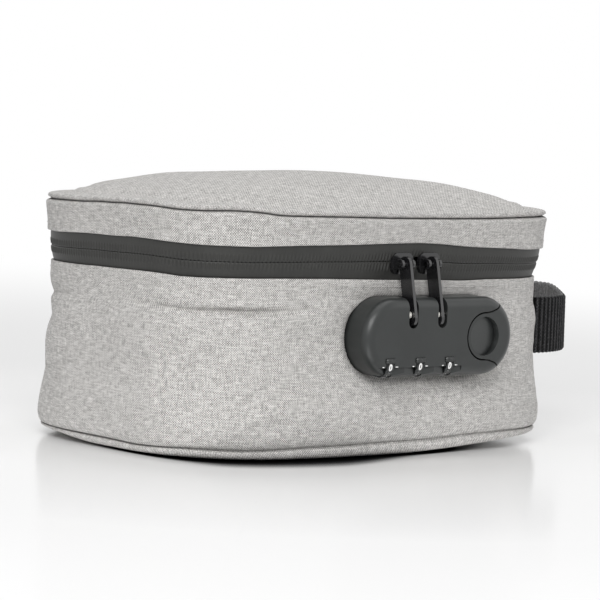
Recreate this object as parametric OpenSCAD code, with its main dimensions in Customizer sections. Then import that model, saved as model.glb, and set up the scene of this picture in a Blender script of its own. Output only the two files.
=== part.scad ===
// Lockable zip case for carrying cash: a padded fabric tub, a crowned fabric lid on a
// cloth hinge, a zip round three sides, and a three-dial lock that holds both zip pulls.
// Millimetres. The origin is on the resting plane under the middle of the bag.
// +X runs along the bag to the carry handle, -Y is the front with the lock, +Z is up.

/* [Bag] */
// Length of the bag, measured along the zip line
bag_length = 213; // [205:1:225]
// Depth of the bag from front to back, measured along the zip line
bag_depth = 138; // [132:1:150]
// Squareness of the rounded plan outline
outline_power = 3.5; // [3.2:0.1:4]
// Height of the zip's centre line above the floor
zip_height = 80; // [79:0.5:88]
// Height of the zip band between the two hems
zip_opening = 14; // [13.5:0.5:16]
// Height of the lid seam above the zip's centre line
lid_seam_rise = 19; // [18:0.5:22]
// Rise of the crowned top above its rounded edge
lid_crown = 12; // [9:0.5:16]
// Bulge of the wall just above the bottom seam
foot_flare = 3.2; // [2:0.1:4]
// Overhang of the lid seam past the zip line
lid_flare = 3.3; // [2.4:0.1:4]

/* [Fabric] */
// Thickness of the outer fabric
fabric_t = 1.2; // [1:0.1:1.4]
// Thickness of the foam in the walls and lid
foam_t = 4.5; // [3.5:0.25:5]
// Thickness of the lining
lining_t = 1; // [0.8:0.1:1.2]
// Thickness of the stiff board in the bottom
board_t = 3; // [2.5:0.25:3.2]
// Space between layers that are sewn on one another
layer_gap = 0.25; // [0.2:0.05:0.3]

/* [Zip] */
// Thickness of the zip tape
tape_t = 0.9; // [0.7:0.1:1]
// Width of one side of the coil
coil_w = 2.6; // [2:0.1:3]
// Thickness of the coil behind the tape
coil_t = 2; // [1.6:0.1:2.2]
// Length of a slider along the zip
slider_l = 12; // [11.5:0.25:12.5]
// Width of a slider across the zip
slider_w = 8.8; // [8:0.2:10]
// Distance between the two pulls
pull_pitch = 15.4; // [15:0.1:16]
// Length of a pull from its pin to the eye that the lock holds
pull_reach = 21; // [20.5:0.1:21.5]
// Width of a pull
pull_w = 6.5; // [6:0.1:6.8]
// Thickness of a pull
pull_t = 1.5; // [1.3:0.1:1.7]
// Lean of the hanging pulls away from the bag, in degrees
pull_lean = 12.3; // [11.5:0.1:12.5]

/* [Lock] */
// Length of the lock case
lock_l = 85.5; // [82:0.5:90]
// Height of the lock case
lock_h = 33; // [32:0.5:34]
// Thickness of the lock case
lock_t = 14; // [13.6:0.2:15]
// Place of the lock's centre along the bag
lock_x = 10; // [0:0.5:14]
// Space between the lower hem and the top of the lock
lock_below_hem = 6.1; // [6:0.1:8]
// Wall of the lock case
lock_wall = 1.6; // [1.4:0.1:1.8]
// Rounding of the lock's front edge
lock_round = 4.5; // [3.5:0.25:5]
// Distance between the two slots for the pulls
slot_pitch = 16.7; // [16.4:0.1:17.2]
// Radius of a dial
dial_r = 5.4; // [5.2:0.1:5.5]
// Width of a dial
dial_w = 3.8; // [3.4:0.1:5]
// Distance between dials
dial_pitch = 17; // [15.5:0.25:17.5]
// Radius of the round part of the release button
button_r = 9.6; // [9:0.2:10]
// Travel of the release button
button_travel = 4; // [3:0.25:4.5]

/* [Handle] */
// Width of the handle webbing
strap_w = 25; // [20:1:28]
// Thickness of the handle webbing
strap_t = 1.8; // [1.4:0.1:2.2]
// Distance between the two feet of the handle
handle_span = 88; // [80:1:92]
// Height of the handle's arch out from its feet
handle_rise = 46; // [36:1:56]

/* [Hidden] */
$fn = 48;

// Outline of the bag, walked round in even steps of its angle
steps = 64;
step = 360 / steps;
half_l = bag_length / 2;
half_d = bag_depth / 2;

// Clearance between pieces that move past one another
run_gap = 0.35;

// The zip runs round the left, front and right, and ends at these steps of the outline
zip_first = 22;
zip_last = 74;

// Heights of the seams and hems
seam_z = 4.5;
hem_low = zip_height - zip_opening / 2;
hem_high = zip_height + zip_opening / 2;
hem_w = 3.6;
lid_seam = zip_height + lid_seam_rise;
lock_high = hem_low - lock_below_hem;
lock_z = lock_high - lock_h / 2;
lock_low = lock_high - lock_h;

// Offsets from the zip line: hems, the waist of the wall, and the flat that the lock sits on
hem_out = 0.9;
waist = -1.2;
lock_flat = -2.2;
no_flat = 99;

// Zip layers, from the outside to the inside
tape_out = hem_out - fabric_t - layer_gap;
tape_in = tape_out - tape_t;
coil_out = tape_in - layer_gap;
coil_in = coil_out - coil_t;
zip_split = 0.2;
sewn_in = 0.4;
tape_low = hem_low - hem_w + sewn_in;
tape_high = hem_high + hem_w - sewn_in;
rim_out = tape_in - sewn_in;

// Wall rows from foot to hem: offset, height, and the flat's offset where the lock sits
seam_in = 1;
seam_split = 0.15;
foot_z = 10;
roll_z = 7;
flat_low = lock_low - 1.5;
flat_high = lock_high + 0.5;
hem_ease = 0.1;
wall_rows = [
    [foot_flare - seam_in, seam_z + 2 * seam_split, no_flat],
    [foot_flare - seam_in / 2, roll_z, no_flat],
    [foot_flare, foot_z, no_flat],
    [foot_flare / 2, (foot_z + flat_low) / 2, no_flat],
    [waist / 2, flat_low, lock_flat],
    [waist, lock_z, lock_flat],
    [waist, flat_high, lock_flat],
    [hem_out, hem_low - hem_w - hem_ease, no_flat],
    [hem_out, hem_low, no_flat]
];
foam_rows = [for (i = [1:6]) wall_rows[i]];
foam_depth = fabric_t + layer_gap;
lining_depth = foam_depth + foam_t + layer_gap;
board_z = 2;
board_in = 6;
dish_step = 3;
floor_z = board_z + board_t + layer_gap;
floor_round = 4;
rim_w = 3;

// Lid rows
edge_round = 3.3;
crown_z = lid_seam + edge_round;
crown_scales = [0.93, 0.82, 0.66, 0.46, 0.22, 0.06];
crown_power = 2.2;

// Lock frame: the case stands on the flat of the wall
lock_gap = 0.2;
lock_back = -(half_d + lock_flat) - lock_gap;
plate_t = 1.8;

// Clearance of a pin, bolt or screw in its hole
pin_fit = 0.1;

// Sliders, pins and pulls
slider_lift = 0.4;
slider_z = zip_height + slider_lift;
slider_round = 3;
slider_shift = 1.8;
plate_in = tape_out + run_gap;
slider_plate = 1.5;
plate_out = plate_in + slider_plate;
inner_plate_t = 1.2;
inner_plate = coil_in - 0.6;
post_l = 3;
post_w = 2.4;
post_x = 3.6;
coil_gap = 4;
sunk = 0.5;
pin_r = 1;
pin_end = 0.3;
pin_out = plate_out + pull_w / 2 + run_gap;
ear_in = 2.4;
ear_t = 1.3;
ear_r = 2.1;
eye_r = 1.9;
pull_nose = 1.6;
pulls_left = 8.8;
pull_mid = lock_x - pulls_left;
pull_xs = [pull_mid - pull_pitch / 2, pull_mid + pull_pitch / 2];
pin_y = -(half_d + pin_out);
eye_y = pin_y - pull_reach * sin(pull_lean);
eye_z = slider_z - pull_reach * cos(pull_lean);

// Lock insides in the lock's own frame: x along the case, y up, z out of the wall
eye_out = lock_back - eye_y;
eye_up = eye_z - lock_z;
slot_w = 5.1;
slot_rib = 1.2;
slot_foot = 2.2;
slot_low = eye_up - pull_w / 2 - slot_foot;
slot_deep = 4.8;
slot_floor = 0.7;
bolt_r = 1.3;
bolt_gap = 0.3;
keeper_r = 1.4;
keeper_out = eye_out + 0.5;
dial_mid = -12.1;
dial_up = -11;
dial_proud = 0.25;
dial_out = lock_t - dial_r + dial_proud;
dial_tilt = 11;
shaft_r = 1.5;
groove_up = -12;
scoop_deep = 1.6;
scoop_edge = 0.5;
groove_lead = 10;
groove_tail = 7;
bay_out = lock_t - 3.05;
bay_wall = 1;
bay_lip = 2;
post_t = 3;
post_h = 6;
grip_r = 0.8;
grip_out = 0.45;
button_x = 24.7;
button_gap = 0.65;
button_low = 3.3;
button_wall = 2;
flare_r = 17;
skin_out = 9;
dish_r = 8.2;
dish_tilt = 9;
screw_r = 1.5;
screw_end = 9.75;
screw_x = lock_l / 2 - screw_end;
head_r = 2.8;
head_t = 1.8;
boss_r = 3.2;
boss_t = 5;
screw_in = 4;
peg_x = 22.5;
peg_y = 5;
peg_r = 1.5;
spring_y = -5.6;
spring_r = 2;
spring_wire = 0.4;
spring_from = 23.8;
spring_shut = 5.9;
lug_x = spring_from + spring_shut + button_travel;
lug_t = 2;
lug_half = 2.4;
lug_out = 7.5;
bar_low = 2.4;
bar_high = 4.4;
bar_half = 2.6;
bar_tail = 2.4;
bar_over = 10;
arm_t = 2;
arm_half = 2;

// Handle
strap_low = lock_z - strap_w / 2;
arch_power = 2.2;
foot_t = asin(pow(handle_span / 2 / (half_d + waist / 2), outline_power / 2));
tab_t = foot_t / 2;

grey_fabric = [0.66, 0.66, 0.67];
black_fabric = [0.09, 0.09, 0.1];
lining_grey = [0.2, 0.2, 0.22];
foam_white = [0.9, 0.9, 0.88];
black_metal = [0.06, 0.06, 0.07];
bright_steel = [0.75, 0.75, 0.76];
lock_grey = [0.23, 0.24, 0.24];

// Plan outline
function power(v, e) = sign(v) * pow(abs(v), e);
function plan(o, t, s = 1) = [
    (half_l * s + o) * power(cos(t), 2 / outline_power),
    (half_d * s + o) * power(sin(t), 2 / outline_power)
];
// One ring of points from a row of offset, height, flat offset and scale
function ring(r) = [
    for (i = [0:steps - 1])
        let (p = plan(r[0], i * step, is_undef(r[3]) ? 1 : r[3]))
        [p.x, max(p.y, -(half_d + r[2])), r[1]]
];
// A row moved inwards by a depth
function inward(r, d) = [r[0] - d, r[1], r[2] - d];
function backwards(v) = [for (i = [len(v) - 1:-1:0]) v[i]];
function crown(s) = crown_z + lid_crown * (1 - pow(s, crown_power));
function crown_rows(scales, drop) = [for (s = scales) [0, crown(s) - drop, no_flat, s]];

// Skin over a list of rows: a closed ring, or a solid capped at its first and last row
module skin(rows, closed) {
    n = steps;
    last = len(rows) - 1;
    sides = [
        for (k = [0:(closed ? last : last - 1)])
            for (i = [0:n - 1])
                let (
                    j = (i + 1) % n,
                    m = (k + 1) % len(rows),
                    a = k * n + i,
                    b = k * n + j,
                    c = m * n + j,
                    d = m * n + i
                )
                each [[a, c, b], [a, d, c]]
    ];
    caps = closed ? [] : [
        [for (i = [0:n - 1]) i],
        [for (i = [n - 1:-1:0]) last * n + i]
    ];
    polyhedron([for (r = rows) each ring(r)], concat(sides, caps));
}

// Ring of one layer: rows with a thickness inwards
module layer(rows, depth, t) {
    outer = [for (r = rows) inward(r, depth)];
    inner = [for (r = backwards(rows)) inward(r, depth + t)];
    skin(concat(outer, inner), true);
}

// Upright band along the outline between two steps
module band(out, in, low, high, angles) {
    outer = [for (t = angles) plan(out, t)];
    inner = [for (t = backwards(angles)) plan(in, t)];
    translate([0, 0, low])
        linear_extrude(high - low)
            polygon(concat(outer, inner));
}

zip_angles = [for (i = [zip_first:zip_last]) i * step];
coil_angles = [for (i = [zip_first + 1:zip_last - 1]) i * step];
hinge_inset = 0.6;
hinge_angles = concat(
    [(zip_last - steps) * step + hinge_inset],
    [for (i = [zip_last - steps + 1:zip_first - 1]) i * step],
    [zip_first * step - hinge_inset]
);

// Bore along Y through the layers of the wall behind the lock
module wall_bores(r) {
    for (x = [-screw_x, screw_x])
        translate([lock_x + x, lock_back - 1, lock_z])
            rotate([-90, 0, 0])
                cylinder(r = r, h = lock_t);
}

module body_wall() {
    color(grey_fabric)
        difference() {
            layer(wall_rows, 0, fabric_t);
            wall_bores(screw_r + 2 * pin_fit);
        }
}

module wall_foam() {
    color(foam_white)
        difference() {
            layer(foam_rows, foam_depth, foam_t);
            wall_bores(screw_r + 2 * pin_fit);
        }
}

// Bottom panel: a shallow crowned dish that meets the wall at the bottom seam
module base_panel() {
    dish = [
        [-3 * dish_step, 0],
        [-dish_step, seam_z / 9],
        [foot_flare - seam_in - dish_step / 2, seam_z / 2],
        [foot_flare - seam_in, seam_z]
    ];
    outer = [for (p = dish) [p[0], p[1], no_flat]];
    inner = [for (p = backwards(dish)) [p[0] - fabric_t, min(p[1] + fabric_t, seam_z), no_flat]];
    color(grey_fabric) skin(concat(outer, inner), false);
}

module base_board() {
    color(foam_white)
        translate([0, 0, board_z])
            linear_extrude(board_t)
                polygon([for (i = [0:steps - 1]) plan(-board_in, i * step)]);
}

// Lining of the tub: a floor, walls inside the foam, and a rim sewn to the zip tape
module tub_lining() {
    foot = inward(wall_rows[2], lining_depth + floor_round);
    sides = [for (i = [2:6]) inward(wall_rows[i], lining_depth)];
    outer = concat(
        [[foot[0], floor_z, no_flat]],
        sides,
        [[rim_out, hem_low - rim_w, no_flat], [rim_out, hem_low + rim_w, no_flat]]
    );
    inner = [
        for (i = [len(outer) - 1:-1:0])
            let (lift = i == 0 ? lining_t : 0)
            [outer[i][0] - lining_t, outer[i][1] + lift, outer[i][2] - lining_t]
    ];
    color(lining_grey)
        difference() {
            skin(concat(outer, inner), false);
            wall_bores(screw_r + 2 * pin_fit);
        }
}

// Gap in the zip between the two sliders, where their posts part the coils
module slider_gap() {
    gap_l = pull_pitch - post_w;
    translate([pull_mid + slider_shift - gap_l / 2, -half_d - hem_w, slider_z - coil_gap / 2])
        cube([gap_l, slider_l, coil_gap]);
}

module zip_tape(low, high) {
    color(black_fabric)
        difference() {
            band(tape_out, tape_in, low, high, zip_angles);
            slider_gap();
        }
}

module zip_tape_lower() {
    zip_tape(tape_low, zip_height - zip_split);
}

module zip_tape_upper() {
    zip_tape(zip_height + zip_split, tape_high);
}

// Coil, which stops a step short of the tape at each end
module zip_coil(low) {
    color(black_fabric)
        difference() {
            band(coil_out, coil_in, low, low + coil_w, coil_angles);
            slider_gap();
        }
}

module zip_coil_lower() {
    zip_coil(zip_height - zip_split - coil_w);
}

module zip_coil_upper() {
    zip_coil(zip_height + zip_split);
}

module hinge_panel() {
    color(grey_fabric)
        band(tape_out, tape_in, tape_low, hem_high - run_gap, hinge_angles);
}

// Flat plate with round corners, standing in the zip's plane, from one offset to another
module slider_side(from, to, r) {
    translate([slider_shift, -half_d - from, 0])
        rotate([90, 0, 0])
            linear_extrude(to - from)
                union() {
                    square([slider_l - 2 * r, slider_w], center = true);
                    square([slider_l, slider_w - 2 * r], center = true);
                    for (x = [-1, 1], z = [-1, 1])
                        translate([x * (slider_l / 2 - r), z * (slider_w / 2 - r)])
                            circle(r);
                }
}

// Slider: two plates joined by a post at the nose, and two ears that carry the pin
module slider(x, nose) {
    post = [post_l, plate_in - inner_plate + 2 * sunk, post_w];
    color(black_metal)
        translate([x, 0, slider_z])
            difference() {
                union() {
                    slider_side(plate_in, plate_out, slider_round);
                    slider_side(inner_plate - inner_plate_t, inner_plate, slider_round);
                    translate([slider_shift + nose * post_x - post.x / 2, -half_d - plate_in - sunk, -post.z / 2])
                        cube(post);
                    for (side = [-1, 1])
                        translate([side * (ear_in + ear_t / 2), 0, 0]) {
                            translate([0, pin_y, 0])
                                rotate([0, 90, 0])
                                    cylinder(r = ear_r, h = ear_t, center = true);
                            translate([-ear_t / 2, pin_y, -ear_r])
                                cube([ear_t, pin_out - plate_out + sunk, 2 * ear_r]);
                        }
                }
                translate([0, pin_y, 0])
                    rotate([0, 90, 0])
                        cylinder(r = pin_r + pin_fit, h = slider_l, center = true);
            }
}

module pull_pin(x) {
    color(bright_steel)
        translate([x, pin_y, slider_z])
            rotate([0, 90, 0])
                cylinder(r = pin_r, h = 2 * (ear_in + ear_t + pin_end), center = true);
}

// Pull: a flat bar with a bore for the pin and an eye for the lock's bolt
module pull(x) {
    tip = pull_reach + pull_nose;
    color(black_metal)
        translate([x, pin_y, slider_z])
            rotate([-pull_lean, 0, 0])
                rotate([0, 90, 0])
                    linear_extrude(pull_t, center = true)
                        difference() {
                            union() {
                                circle(pull_w / 2);
                                translate([tip, 0]) circle(pull_w / 2);
                                translate([0, -pull_w / 2]) square([tip, pull_w]);
                            }
                            circle(pin_r + 1.5 * pin_fit);
                            translate([pull_reach, 0]) circle(eye_r);
                        }
}

// Everything in the lock's own frame
module on_lock() {
    translate([lock_x, lock_back, lock_z])
        rotate([90, 0, 0])
            children();
}

// Section of the case, from its middle to its side, with a rounded front edge
module half_section(h, t, r) {
    square([h / 2 - r, t]);
    square([h / 2, t - r]);
    translate([h / 2 - r, t - r]) circle(r);
}

// Case with round ends and a rounded front edge
module case_form(l, h, t, r) {
    for (side = [-1, 1])
        translate([side * (l - h) / 2, 0, 0])
            rotate_extrude()
                intersection() {
                    half_section(h, t, r);
                    square([h, t + 1]);
                }
    rotate([90, 0, 90])
        linear_extrude(l - h, center = true)
            for (side = [0, 1])
                mirror([side, 0]) half_section(h, t, r);
}

module stadium(l, h) {
    square([l - h, h], center = true);
    for (side = [-1, 1])
        translate([side * (l - h) / 2, 0]) circle(h / 2);
}

// Plan of the release button: a disc that flares out to the end of the case
module bell(grow) {
    arc_y = button_r + flare_r;
    translate([button_x, 0]) circle(button_r + grow);
    difference() {
        translate([button_x, -arc_y]) square([lock_l / 2 - button_x + lock_wall, 2 * arc_y]);
        for (side = [-1, 1])
            translate([button_x, side * arc_y]) circle(flare_r - grow);
    }
}

function dial_x(i) = dial_mid + (i - 1) * dial_pitch;
slot_xs = [for (side = [-1, 1]) side * slot_pitch / 2 - pulls_left];
hung_xs = [for (x = pull_xs) x - lock_x];

// Bar along the lock's length, for shafts, dials, pins and bolts
module rod(from, to, y, z, r) {
    translate([from, y, z])
        rotate([0, 90, 0])
            cylinder(r = r, h = to - from);
}

module slots() {
    for (x = slot_xs) {
        translate([x - slot_w / 2, slot_low + slot_w / 2, slot_deep])
            cube([slot_w, lock_h, lock_t]);
        translate([x, slot_low + slot_w / 2, slot_deep])
            cylinder(r = slot_w / 2, h = lock_t);
    }
}

// Scoops below the step of the front, deepest beside each dial
module dial_scoops(from, to) {
    valley = [
        for (i = [0:2])
            each [
                [dial_x(i) - dial_pitch / 2, lock_t - scoop_edge],
                [dial_x(i) - dial_w / 2, lock_t - scoop_deep],
                [dial_x(i) + dial_w / 2, lock_t - scoop_deep],
                [min(dial_x(i) + dial_pitch / 2, to), lock_t - scoop_edge]
            ]
    ];
    translate([0, groove_up, 0])
        rotate([90, 0, 0])
            linear_extrude(lock_h)
                polygon(concat(
                    [[from, lock_t + 1], [from, lock_t]],
                    valley,
                    [[to, lock_t + 1]]
                ));
}

module lock_cover() {
    inner_l = lock_l - 2 * lock_wall;
    inner_h = lock_h - 2 * lock_wall;
    rib_w = slot_w + 2 * slot_rib;
    groove_from = dial_x(0) - groove_lead;
    groove_to = dial_x(2) + groove_tail;
    bay_l = groove_to - groove_from + 2 * bay_wall;
    bay_half = dial_w / 2 + run_gap;
    color(lock_grey)
        on_lock()
            difference() {
                union() {
                    difference() {
                        case_form(lock_l, lock_h, lock_t, lock_round);
                        translate([0, 0, -1])
                            case_form(inner_l, inner_h, lock_t - lock_wall + 1, lock_round - lock_wall);
                    }
                    intersection() {
                        case_form(lock_l, lock_h, lock_t, lock_round);
                        union() {
                            for (x = slot_xs)
                                translate([x - rib_w / 2, slot_low - slot_rib, slot_deep + slot_floor])
                                    cube([rib_w, lock_h, lock_t]);
                            translate([groove_from - bay_wall, -lock_h, bay_out])
                                cube([bay_l, lock_h + groove_up + bay_lip, lock_t]);
                        }
                    }
                }
                slots();
                for (x = slot_xs) {
                    rod(x, x + rib_w + button_travel, eye_up, eye_out, bolt_r + run_gap);
                    rod(x - rib_w, x, eye_up, keeper_out, keeper_r + pin_fit);
                }
                dial_scoops(groove_from, groove_to);
                for (i = [0:2])
                    rod(dial_x(i) - bay_half, dial_x(i) + bay_half, dial_up, dial_out, dial_r + run_gap);
                translate([0, 0, button_low - run_gap])
                    linear_extrude(lock_t)
                        bell(button_gap);
            }
}

// Back plate of the lock with the dial posts, the screw bosses and the spring's lug
module lock_base() {
    inset = 2 * (lock_wall + layer_gap);
    color(lock_grey)
        on_lock()
            difference() {
                union() {
                    linear_extrude(plate_t) stadium(lock_l - inset, lock_h - inset);
                    for (i = [0, 1])
                        translate([dial_x(i) + dial_pitch / 2 - post_t / 2, dial_up - post_h / 2, 0])
                            cube([post_t, post_h, bay_out - layer_gap]);
                    for (x = [-screw_x, screw_x])
                        translate([x, 0, 0]) cylinder(r = boss_r, h = boss_t);
                    translate([lug_x, spring_y - lug_half, 0]) cube([lug_t, 2 * lug_half, lug_out]);
                }
                rod(dial_x(0), dial_x(2), dial_up, dial_out, shaft_r + pin_fit);
                for (x = [-screw_x, screw_x])
                    translate([x, 0, -plate_t]) cylinder(r = screw_r + pin_fit, h = plate_t + screw_in);
            }
}

module dial_shaft() {
    overhang = dial_w / 2 + run_gap + bay_wall / 2;
    color(bright_steel)
        on_lock()
            rod(dial_x(0) - overhang, dial_x(2) + overhang, dial_up, dial_out, shaft_r);
}

// Dial: a drum with ten finger grooves between its figures
module dial(i) {
    color(lock_grey)
        on_lock()
            translate([dial_x(i), dial_up, dial_out])
                rotate([0, 90, 0])
                    difference() {
                        cylinder(r = dial_r, h = dial_w, center = true);
                        cylinder(r = shaft_r + pin_fit, h = 2 * dial_w, center = true);
                        for (k = [0:9])
                            rotate((k + 0.5) * 36 + dial_tilt)
                                translate([dial_r + grip_out, 0, 0])
                                    cylinder(r = grip_r, h = 2 * dial_w, center = true);
                    }
}

// Bright ends opposite the bolts, set in the left side of each slot
module bolt_keepers() {
    color(bright_steel)
        on_lock()
            for (i = [0, 1])
                rod(
                    slot_xs[i] - slot_w / 2 - slot_rib,
                    hung_xs[i] - pull_t / 2 - run_gap,
                    eye_up, keeper_out, keeper_r
                );
}

// Release button: a hollow cap over the end of the case with a sloping finger dish
module release_button() {
    slit_half = bar_half + bar_tail - peg_r;
    inner_l = lock_l - 2 * button_wall;
    inner_h = lock_h - 2 * button_wall;
    rib_low = bar_low - layer_gap;
    rib_h = skin_out - rib_low + sunk;
    color(lock_grey)
        on_lock()
            union() {
                difference() {
                    intersection() {
                        case_form(lock_l, lock_h, lock_t, lock_round);
                        translate([0, 0, button_low]) linear_extrude(lock_t) bell(0);
                    }
                    intersection() {
                        case_form(inner_l, inner_h, skin_out, bay_wall);
                        linear_extrude(lock_t) bell(-button_wall);
                    }
                    translate([button_x - dish_r, 0, lock_t])
                        rotate([0, dish_tilt, 0])
                            translate([dish_r, 0, 0])
                                cylinder(r = dish_r, h = lock_t);
                    translate([0, peg_y - slit_half, 0])
                        cube([peg_x + bar_tail + run_gap, 2 * slit_half, bar_high + run_gap]);
                }
                translate([peg_x, peg_y, rib_low]) cylinder(r = peg_r, h = rib_h);
                translate([spring_from - lug_t, spring_y - lug_half, rib_low])
                    cube([lug_t, 2 * lug_half, rib_h]);
            }
}

// Latch bar: a steel strip under the slots with an arm and a bolt for each pull
module latch_bar() {
    arm_from = slot_w / 2 + slot_rib + run_gap;
    arm_high = lock_t - lock_wall - run_gap;
    tail_from = slot_xs[1] + arm_from;
    strip_t = bar_high - bar_low;
    color(bright_steel)
        on_lock()
            difference() {
                union() {
                    translate([slot_xs[0] + arm_from, eye_up - bar_half, bar_low])
                        cube([slot_pitch + bar_over, 2 * bar_half, strip_t]);
                    translate([tail_from, peg_y - bar_half, bar_low])
                        cube([bar_over, eye_up - peg_y + bar_half, strip_t]);
                    translate([tail_from, peg_y - bar_half, bar_low])
                        cube([peg_x + bar_tail - tail_from, 2 * bar_half, strip_t]);
                    for (i = [0, 1]) {
                        arm_x = slot_xs[i] + arm_from;
                        translate([arm_x, eye_up - arm_half, bar_low])
                            cube([arm_t, 2 * arm_half, arm_high - bar_low]);
                        rod(hung_xs[i] + pull_t / 2 + bolt_gap, arm_x + arm_t / 2, eye_up, eye_out, bolt_r);
                    }
                }
                translate([peg_x, peg_y, 0]) cylinder(r = peg_r + pin_fit, h = lock_t);
            }
}

// Coil spring between the button and the lug on the back plate
module return_spring() {
    turns = 6;
    per_turn = 10;
    sides = 6;
    rings = turns * per_turn;
    length = lug_x - spring_from - 2 * (spring_wire + pin_fit);
    centre = [spring_from + spring_wire + pin_fit, spring_y, bar_high];
    points = [
        for (i = [0:rings])
            let (a = i * 360 / per_turn)
            for (k = [0:sides - 1])
                let (b = k * 360 / sides, r = spring_r - spring_wire + spring_wire * cos(b))
                centre + [length * i / rings + spring_wire * sin(b), r * cos(a), r * sin(a)]
    ];
    faces = [
        for (i = [0:rings - 1])
            for (k = [0:sides - 1])
                let (j = (k + 1) % sides, a = i * sides, b = a + sides)
                each [[a + k, a + j, b + j], [a + k, b + j, b + k]]
    ];
    ends = [
        [for (k = [sides - 1:-1:0]) k],
        [for (k = [0:sides - 1]) rings * sides + k]
    ];
    color(bright_steel)
        on_lock()
            polyhedron(points, concat(faces, ends));
}

// Plate inside the tub, clear of the lining where the wall starts to curve
backplate_t = 1.2;
backplate_in = 4.5;
backplate_gap = 0.7;
plate_y = -(half_d + lock_flat - lining_depth - lining_t) + backplate_gap;

module lock_backplate() {
    color(bright_steel)
        difference() {
            translate([lock_x, plate_y + backplate_t, lock_z])
                rotate([90, 0, 0])
                    linear_extrude(backplate_t)
                        stadium(lock_l - 2 * backplate_in, lock_h - 2 * backplate_in);
            wall_bores(screw_r + 2 * pin_fit);
        }
}

module lock_screws() {
    seat = plate_y + backplate_t;
    shank_l = seat - lock_back + screw_in;
    color(bright_steel)
        for (x = [-screw_x, screw_x])
            translate([lock_x + x, seat, lock_z])
                rotate([90, 0, 0]) {
                    translate([0, 0, -head_t]) cylinder(r = head_r, h = head_t);
                    cylinder(r = screw_r, h = shank_l);
                }
}

// Handle: webbing that arches out from two sewn feet on the right-hand wall
module handle_strap() {
    arch_steps = 28;
    tab_in = waist / 2 + layer_gap;
    root_turn = 3;
    tab_out = tab_in + strap_t;
    root_x = plan(tab_in, foot_t).x + strap_t / 2;
    function arch(i, grow) =
        let (t = 180 * i / arch_steps)
        [
            root_x + (handle_rise + grow) * power(sin(t), 2 / arch_power),
            -(handle_span / 2 + grow) * power(cos(t), 2 / arch_power)
        ];
    wall_side = [for (i = [0:4]) tab_t + (foot_t - tab_t) * i / 4];
    arch_side = [for (i = [0:3]) tab_t + (foot_t - root_turn - tab_t) * i / 3];
    color(black_fabric)
        translate([0, 0, strap_low])
            linear_extrude(strap_w)
                polygon(concat(
                    [for (t = wall_side) plan(tab_in, -t)],
                    [for (i = [0:arch_steps]) arch(i, strap_t / 2)],
                    [for (t = backwards(wall_side)) plan(tab_in, t)],
                    [for (t = arch_side) plan(tab_out, t)],
                    [for (i = [arch_steps - 1:-1:1]) arch(i, -strap_t / 2)],
                    [for (t = backwards(arch_side)) plan(tab_out, -t)]
                ));
}

module lid_band() {
    rows = [
        [hem_out, hem_high, no_flat],
        [hem_out, hem_high + hem_w, no_flat],
        [(hem_out + lid_flare) / 2, (hem_high + hem_w + lid_seam) / 2 - seam_in, no_flat],
        [lid_flare, lid_seam - seam_split, no_flat]
    ];
    color(grey_fabric) layer(rows, 0, fabric_t);
}

// Crowned top: rolls over at the seam and rises to the middle
module lid_panel() {
    edge = [
        [lid_flare, lid_seam + seam_split, no_flat, 1],
        [lid_flare - edge_round / 11, lid_seam + edge_round / 2, no_flat, 1],
        [lid_flare - edge_round * 0.6, lid_seam + edge_round, no_flat, 1]
    ];
    inner_edge = [
        for (r = backwards(edge))
            [r[0] - fabric_t, max(r[1] - fabric_t, lid_seam + seam_split), no_flat, 1]
    ];
    rows = concat(
        crown_rows(backwards(crown_scales), fabric_t),
        inner_edge,
        edge,
        crown_rows(crown_scales, 0)
    );
    color(grey_fabric) skin(rows, false);
}

module lid_foam() {
    scales = concat([0.95], crown_scales);
    rows = concat(
        crown_rows(backwards(scales), fabric_t + layer_gap + foam_t),
        crown_rows(scales, fabric_t + layer_gap)
    );
    color(foam_white) skin(rows, false);
}

// Lining of the lid: a ceiling under the foam and a rim sewn to the upper tape
module lid_lining() {
    drop = fabric_t + foam_t + 2 * layer_gap;
    rim_low = hem_high + sewn_in;
    side_top = crown(crown_scales[0]) - drop - 2 * fabric_t;
    outer = concat(
        [[rim_out, rim_low, no_flat, 1], [rim_out, side_top, no_flat, 1]],
        crown_rows(crown_scales, drop)
    );
    inner = concat(
        crown_rows(backwards(crown_scales), drop + lining_t),
        [[rim_out - lining_t, side_top - fabric_t / 2, no_flat, 1], [rim_out - lining_t, rim_low, no_flat, 1]]
    );
    color(lining_grey) skin(concat(inner, outer), false);
}

body_wall();
wall_foam();
base_panel();
base_board();
tub_lining();
zip_tape_lower();
zip_coil_lower();
hinge_panel();
slider(pull_xs[0], 1);  // slider_left
slider(pull_xs[1], -1);  // slider_right
pull_pin(pull_xs[0]);  // pull_pin_left
pull_pin(pull_xs[1]);  // pull_pin_right
pull(pull_xs[0]);  // pull_left
pull(pull_xs[1]);  // pull_right
lock_base();
lock_cover();
dial_shaft();
bolt_keepers();
dial(0);  // dial_1
dial(1);  // dial_2
dial(2);  // dial_3
release_button();
latch_bar();
return_spring();
lock_backplate();
lock_screws();
handle_strap();
lid_band();
lid_panel();
lid_foam();
lid_lining();
zip_tape_upper();
zip_coil_upper();
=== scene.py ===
"""Looks of a lockable cash case: soft shells, zip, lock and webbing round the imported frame, in metres."""

import math

import bmesh
import bpy
import numpy as np
from mathutils import Matrix, Vector


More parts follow.
